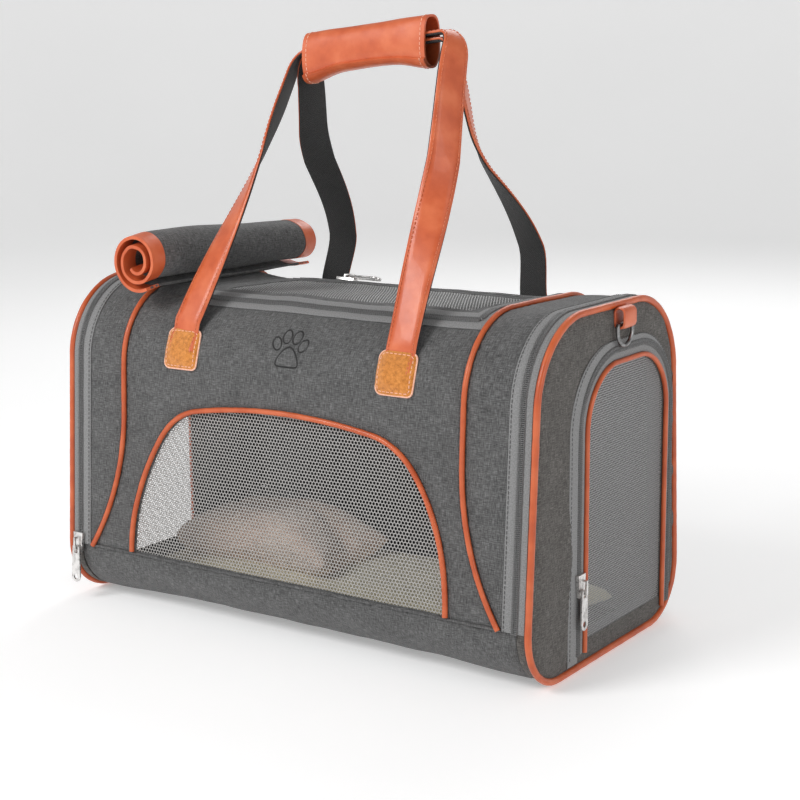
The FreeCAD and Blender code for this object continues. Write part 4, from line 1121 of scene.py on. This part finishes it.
def straps():
    """Two leather straps with webbing behind them; each bends where it leaves its patches."""
    for name, turn, path, hang in (
            ("front", 1, (86, 80, -3, (0.06, 0.32, 0.32, 0.62), 3), (15, 235, 385)),
            ("rear", -1, (78, 73, 26, (0, 0.12, 0.14, 0.46), -3), (13, 375, 450))):
        stations = [(tilted(c, turn, *hang), a, o, w) for c, a, o, w in strap_stations(*path)]
        pieces = []
        for layer, near, far, crown, finish in (("leather", 0, 1.8, 0.12, ORANGE),
                                                ("webbing", -1.2, 0, 0.05, WEBBING)):
            verts, faces, weave = ribbon(stations, near, far, crown)
            pieces.append(make(f"{name}_{layer}", verts, faces, None, finish,
                               [f"{name}_strap_{layer}"], turn, weave, sharp=60))
        rows = [[(c + a * (edge * (w / 2 - 2.4)) + o * 1.95, o) for c, a, o, w in stations]
                for edge in (-1, 1)]
        stitches = joined([bars(row, STITCH_PITCH, STITCH) for row in rows])
        pieces.append(make(f"{name}_strap_stitches", *stitches, None, STRAP_THREAD, turn=turn))
        for piece in pieces:
            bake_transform(piece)


def patches():
    """Suede squares that hold the straps' feet, with a stitched edge."""
    low, high = (-(TOP_Y + TOP_R * math.radians(90 - angle)) for angle in (3, 31))
    half, swell = 16.5, 2.6
    for name, turn in (("front", 1), ("rear", -1)):
        for side, sign in (("left", -1), ("right", 1)):
            middle = sign * STRAP_X

            def swollen(x, s, depth, middle=middle):
                over = bump(x, middle, 21) * smooth((s - low) / 14)
                return skin(x, s, depth - swell * min(over * 1.6, 1))

            def square(inset, radius, middle=middle):
                reach_x = half - inset
                return rounded((middle - reach_x, low + inset), (middle + reach_x, high - inset), radius)

            cloth(f"{name}_{side}_patch", square(0, 5), swollen, 1.2, 1.6, "root", SUEDE,
                  [f"{name}_strap_patches"], grid=2, turn=turn)
            inner = square(2.3, 3.5)
            stitches = track_on(inner + inner[:1], lambda x, s: swollen(x, s, 1.2), skin_normal, 1)
            stitching(f"{name}_{side}_patch_stitches", [stitches], "root", PATCH_THREAD, turn)
            cord(f"{name}_{side}_patch_edge", [swollen(x, s, 2) for x, s in square(-0.1, 5)], 0.75,
                 "root", PATCH_THREAD, turn=turn, closed=True, step=1.5)


def grip():
    """Leather wrapped once round both straps, open at its ends, its seam underneath."""
    middle, half, level, slope = 9, 60, 469, 0.105
    rows, turns, thick = 44, 1.13, 1.9
    half_wide, half_tall = 11.5, 20.5
    stations = spread(-half, half)
    verts, weave = [], []
    for layer in (0, 1):
        for x in stations:
            arch_up = 7 * smooth(1 - (x / half) ** 2)
            flare = 1 + 0.05 * (x / half) ** 2
            for row in range(rows + 1):
                a = math.radians(-96) - 2 * math.pi * turns * row / rows
                lap = 2.4 * smooth((row / rows - 0.78) / 0.1)
                wide = half_wide * flare + lap - thick * layer
                tall = half_tall + lap * 0.4 - thick * layer
                c, n = math.cos(a), math.sin(a)
                y = wide * math.copysign(abs(c) ** 0.72, c)
                z = tall * math.copysign(abs(n) ** 0.8, n)
                z += arch_up * smooth(-z / tall)
                dent = 1.3 * noise.noise(Vector((x / 26, a * 1.3, 2.2)))
                verts.append(Vector((x + middle, y * (1 + dent * 0.06),
                                     level + z + x * slope + dent * 0.4)))
                weave.append((x, row * 3, 0))
    make("grip_leather", verts, two_layers(len(stations) - 1, rows), "rear_strap", ORANGE,
         ["grip_wrap"], weave=weave)
    tracks = []
    for column in (1, len(stations) - 2):
        line = verts[column * (rows + 1):(column + 1) * (rows + 1)]
        centre = Vector((line[0].x, 0, level + (line[0].x - middle) * slope))
        tracks.append([(p, (p - centre).normalized()) for p in line])
    stitching("grip_stitches", tracks, "rear_strap", GRIP_THREAD)


def ring_loops():
    """The leather tab folded round each D-ring's bar."""
    radius, low, high, wide = 4.2, 264, 271, 20
    middle_x, middle_y = (LOOP[0].x + LOOP[1].x) / 2, (LOOP[0].y + LOOP[1].y) / 2
    ring = [Vector((math.cos(a), 0, math.sin(a))) for start, end in ((math.pi, 0), (0, -math.pi))
            for a in spread(start, end, math.pi / 10)]
    stations = []
    for index, away in enumerate(ring + ring[:1]):
        level = high if index <= 10 or index == len(ring) else low
        centre = Vector((middle_x, middle_y, level)) + away * radius
        stations.append((centre, Vector((0, 1, 0)), away, wide))
    verts, faces, weave = ribbon(stations, -0.9, 0.9)
    for name, turn in SIDES:
        make(f"{name}_loop_leather", verts, faces, f"{name}_end", ORANGE, [f"{name}_ring_loop"], turn,
             weave)


# ---------------------------------------------------------------- rolled cover
def cover():
    """The roof's flap, rolled up and laid on the left end of the roof."""
    turns, thick, inner_r, outer_r, steps = 2.2, 1.8, 8.5, 25.4, 120
    edge, proud = 15, 0.45
    mid = (ROLL[0] + ROLL[1]) / 2

    def place(share, y, depth):
        a = math.radians(-62) - 2 * math.pi * turns * (1 - share)
        radius = inner_r + (outer_r - inner_r) * share ** 0.9
        radius += 0.9 * noise.noise(Vector((math.cos(a) * 1.4, math.sin(a) * 1.4 + share * 3, y / 70)))
        radius -= depth
        press = smooth((y + 20) / 140)
        sag = -5 * smooth((y + 105) / 210) ** 1.2 - 5 * smooth((-85 - y) / 40)
        droop = 1.2 * noise.noise(Vector((y / 60, 4.4, 1.7)))
        return Vector((mid.x + radius * math.cos(a) * (1 + 0.05 * press), y,
                       mid.z - 2 + radius * math.sin(a) * (1 - 0.10 * press) + sag + droop))

    def sheet(name, y0, y1, out, back, finish, node):
        ys = spread(y0, y1, 5)
        spots = [(i, y) for i in range(steps + 1) for y in ys]
        verts = [place(i / steps, y, depth) for depth in (-out, back) for i, y in spots]
        return make(name, verts, two_layers(steps, len(ys) - 1), "root", finish, [node],
                    weave=[(y, i * 2.3, 0) for i, y in spots] * 2)

    low, high = BINDING[0].y, BINDING[1].y
    roll = sheet("rolled_cover", low + 3, high - 3, 0, thick, HEATHER, "cover_roll")
    length = sum((place((i + 1) / steps, 0, thick / 2) - place(i / steps, 0, thick / 2)).length
                 for i in range(steps))
    for side, y0, y1 in (("front", low, low + edge), ("rear", high - edge, high)):
        sheet(f"cover_binding_{side}", y0, y1, proud, thick + proud, ORANGE, "cover_binding")


# ---------------------------------------------------------------- padded inserts
def inflate(piece, voxel, pressure, cap, floor_z):
    """Remeshes a closed shape and blows it up as cloth; no point moves further than cap."""
    def evaluated():
        graph = bpy.context.evaluated_depsgraph_get()
        return bpy.data.meshes.new_from_object(piece.evaluated_get(graph))

    def settle(kind, **settings):
        modifier = piece.modifiers.new("step", kind)
        for key, value in settings.items():
            setattr(modifier, key, value)
        mesh = evaluated()
        piece.modifiers.clear()
        piece.data = mesh

    settle("REMESH", mode="VOXEL", voxel_size=voxel * MM)
    frames = 20
    before = np.array([v.co for v in piece.data.vertices])
    modifier = piece.modifiers.new("air", "CLOTH")
    modifier.settings.use_pressure = True
    modifier.settings.uniform_pressure_force = pressure
    modifier.settings.effector_weights.gravity = 0
    modifier.point_cache.frame_start, modifier.point_cache.frame_end = 1, frames
    for number in range(1, frames + 1):
        scene.frame_set(number)
    change = np.array([v.co for v in evaluated().vertices]) - before
    piece.modifiers.clear()
    scene.frame_set(1)
    far = np.linalg.norm(change, axis=1, keepdims=True)
    settled = before + change * np.minimum(1, cap * MM / np.maximum(far, 1e-9))
    settled[:, 2] = np.maximum(settled[:, 2], floor_z * MM)
    piece.data.vertices.foreach_set("co", settled.ravel())
    piece.data.update()
    settle("SUBSURF", levels=1, render_levels=1)
    piece.data.shade_smooth()


def pillow(name, low, high, bulge, fold, finish, node):
    """A soft block drawn in at its edges: its shape before the cloth simulation."""
    rows, columns = 36, 20
    middle, half = (low + high) / 2, (high - low) / 2
    verts = []
    for side in (-1, 1):
        for i in range(rows + 1):
            for j in range(columns + 1):
                u, v = 2 * i / rows - 1, 2 * j / columns - 1
                ease = (1 - abs(u) ** 6) * (1 - abs(v) ** 6)
                pull = 1 - bulge * (1 - u * u) * abs(v) ** 4 * 0.3
                high_z = half.z * (0.35 + 0.65 * ease ** 0.5) * (1 if side > 0 else 0.9)
                z = middle.z + side * high_z + (fold(u, v) if side > 0 else 0)
                verts.append(Vector((middle.x + half.x * u * (1 - bulge * 0.1 * (1 - v * v)),
                                     middle.y + half.y * v * pull, z)))
    return make(name, verts, two_layers(rows, columns), "root", finish, [node])


def insert():
    """The floor pad, and the fleece folded up on its left end."""
    shrink = Vector((3, 3, 1.5))
    pad = pillow("fleece_pad", PAD[0] + shrink, PAD[1] - shrink, 0.3,
                 lambda u, v: 0.8 * math.sin(9 * u), PAD_FLEECE, "floor_pad")
    inflate(pad, 6, 4, 5, PAD[0].z)

    def fold(u, v):
        """A bolster fold along the rear and a crease where the cloth doubles back."""
        crease = -7 * bump(v, 0.15 + 0.1 * math.sin(4 * u), 0.22)
        return (crease - 8 * smooth((u - 0.35) / 0.6) - 4 * smooth((-u - 0.6) / 0.4)
                + 2 * math.sin(5 * u + v))

    shrink, moved = Vector((6, 6, 1)), Vector((-16, -6, 0))
    bolster = pillow("fleece_bolster", BLANKET[0] + shrink + moved, BLANKET[1] - shrink + moved, 0.5,
                     fold, BLANKET_FLEECE, "fleece_blanket")
    inflate(bolster, 5, 4, 8, BLANKET[0].z - 1)


# ---------------------------------------------------------------- embroidered mark
def paw_mark():
    """A plain paw outlined in dark thread, each line a row of close slanting stitches."""
    middle_x, middle_s = 1.5, -reach(239)
    loops = []
    for u, v, wide, tall, lean in ((-13, 5, 4, 6, 24), (-5, 12, 4.2, 6.4, 7), (5, 12, 4.2, 6.4, -7),
                                   (13, 5, 4, 6, -24)):
        c, n = math.cos(math.radians(lean)), math.sin(math.radians(lean))
        loops.append([(u + wide * math.cos(a) * c - tall * math.sin(a) * n,
                       v + wide * math.cos(a) * n + tall * math.sin(a) * c)
                      for a in spread(0, 2 * math.pi, 0.25)])
    loops.append([(11 * math.cos(a) * (1 - 0.18 * math.sin(a)),
                   -8 + 8.5 * math.sin(a) - 2.2 * math.cos(2 * a))
                  for a in spread(0, 2 * math.pi, 0.15)])
    tracks = [skin_track([(middle_x + u, middle_s + v) for u, v in loop], SKIN, 0.7) for loop in loops]
    stitching("paw_embroidery", tracks, "root", PAW_THREAD, pitch=0.62, size=(0.5, 1.5, 0.5))


# ---------------------------------------------------------------- CAD pieces that keep their shape
def hardware():
    """The zips' sliders and pulls, with their cast edges eased; the roof's pair lies on slack cloth."""
    parts = [(f"{side}_{kind}_{piece}", f"{side}_{kind}_zip_{piece}") for side, _ in SIDES
             for kind in ("end", "door") for piece in ("slider", "pull")]
    parts += [("top_slider", "top_zip_slider"), ("top_pull", "top_zip_pull")]
    for node, body in parts:
        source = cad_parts[node].data
        drop = Vector((0, 0, 0))
        if node.startswith("top"):
            low, high = box(node)
            drop = skin_normal(0, PANEL_S) * slack((low + high).x / 2, PANEL_S)
        shape = bmesh.new()
        keep = [shape.verts.new(v.co / MM - drop) for v in source.vertices]
        for polygon in source.polygons:
            corners = [keep[i] for i in polygon.vertices]
            if shape.faces.get(corners) is None:
                shape.faces.new(corners)
        bmesh.ops.remove_doubles(shape, verts=shape.verts, dist=0.001)
        bmesh.ops.dissolve_limit(shape, angle_limit=math.radians(1), verts=shape.verts,
                                 edges=shape.edges)
        hard = [e for e in shape.edges if len(e.link_faces) == 2
                and e.calc_face_angle(0) > math.radians(35)]
        bmesh.ops.bevel(shape, geom=hard, offset=0.28, segments=2, profile=0.6, affect="EDGES")
        shape.verts.index_update()
        verts = [tuple(v.co) for v in shape.verts]
        faces = [tuple(v.index for v in f.verts) for f in shape.faces]
        shape.free()
        make(f"{node}_metal", verts, faces, body, NICKEL, [node], sharp=30)


def carried_over():
    """Pieces that keep the CAD's mesh and only change their material."""
    finish = {"base_board": fibreboard("board"), "hoop_wires": GUNMETAL,
              "right_ring": GUNMETAL, "left_ring": GUNMETAL}
    for node, material in finish.items():
        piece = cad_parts[node]
        piece.data.materials.clear()
        piece.data.materials.append(material)
        for polygon in piece.data.polygons:
            polygon.material_index = 0


for part in (studio, panels, seams, window, body_zips, top_zip, top_door, ends, bellows, straps,
             patches, grip, ring_loops, cover, insert, paw_mark, hardware, carried_over):
    part()
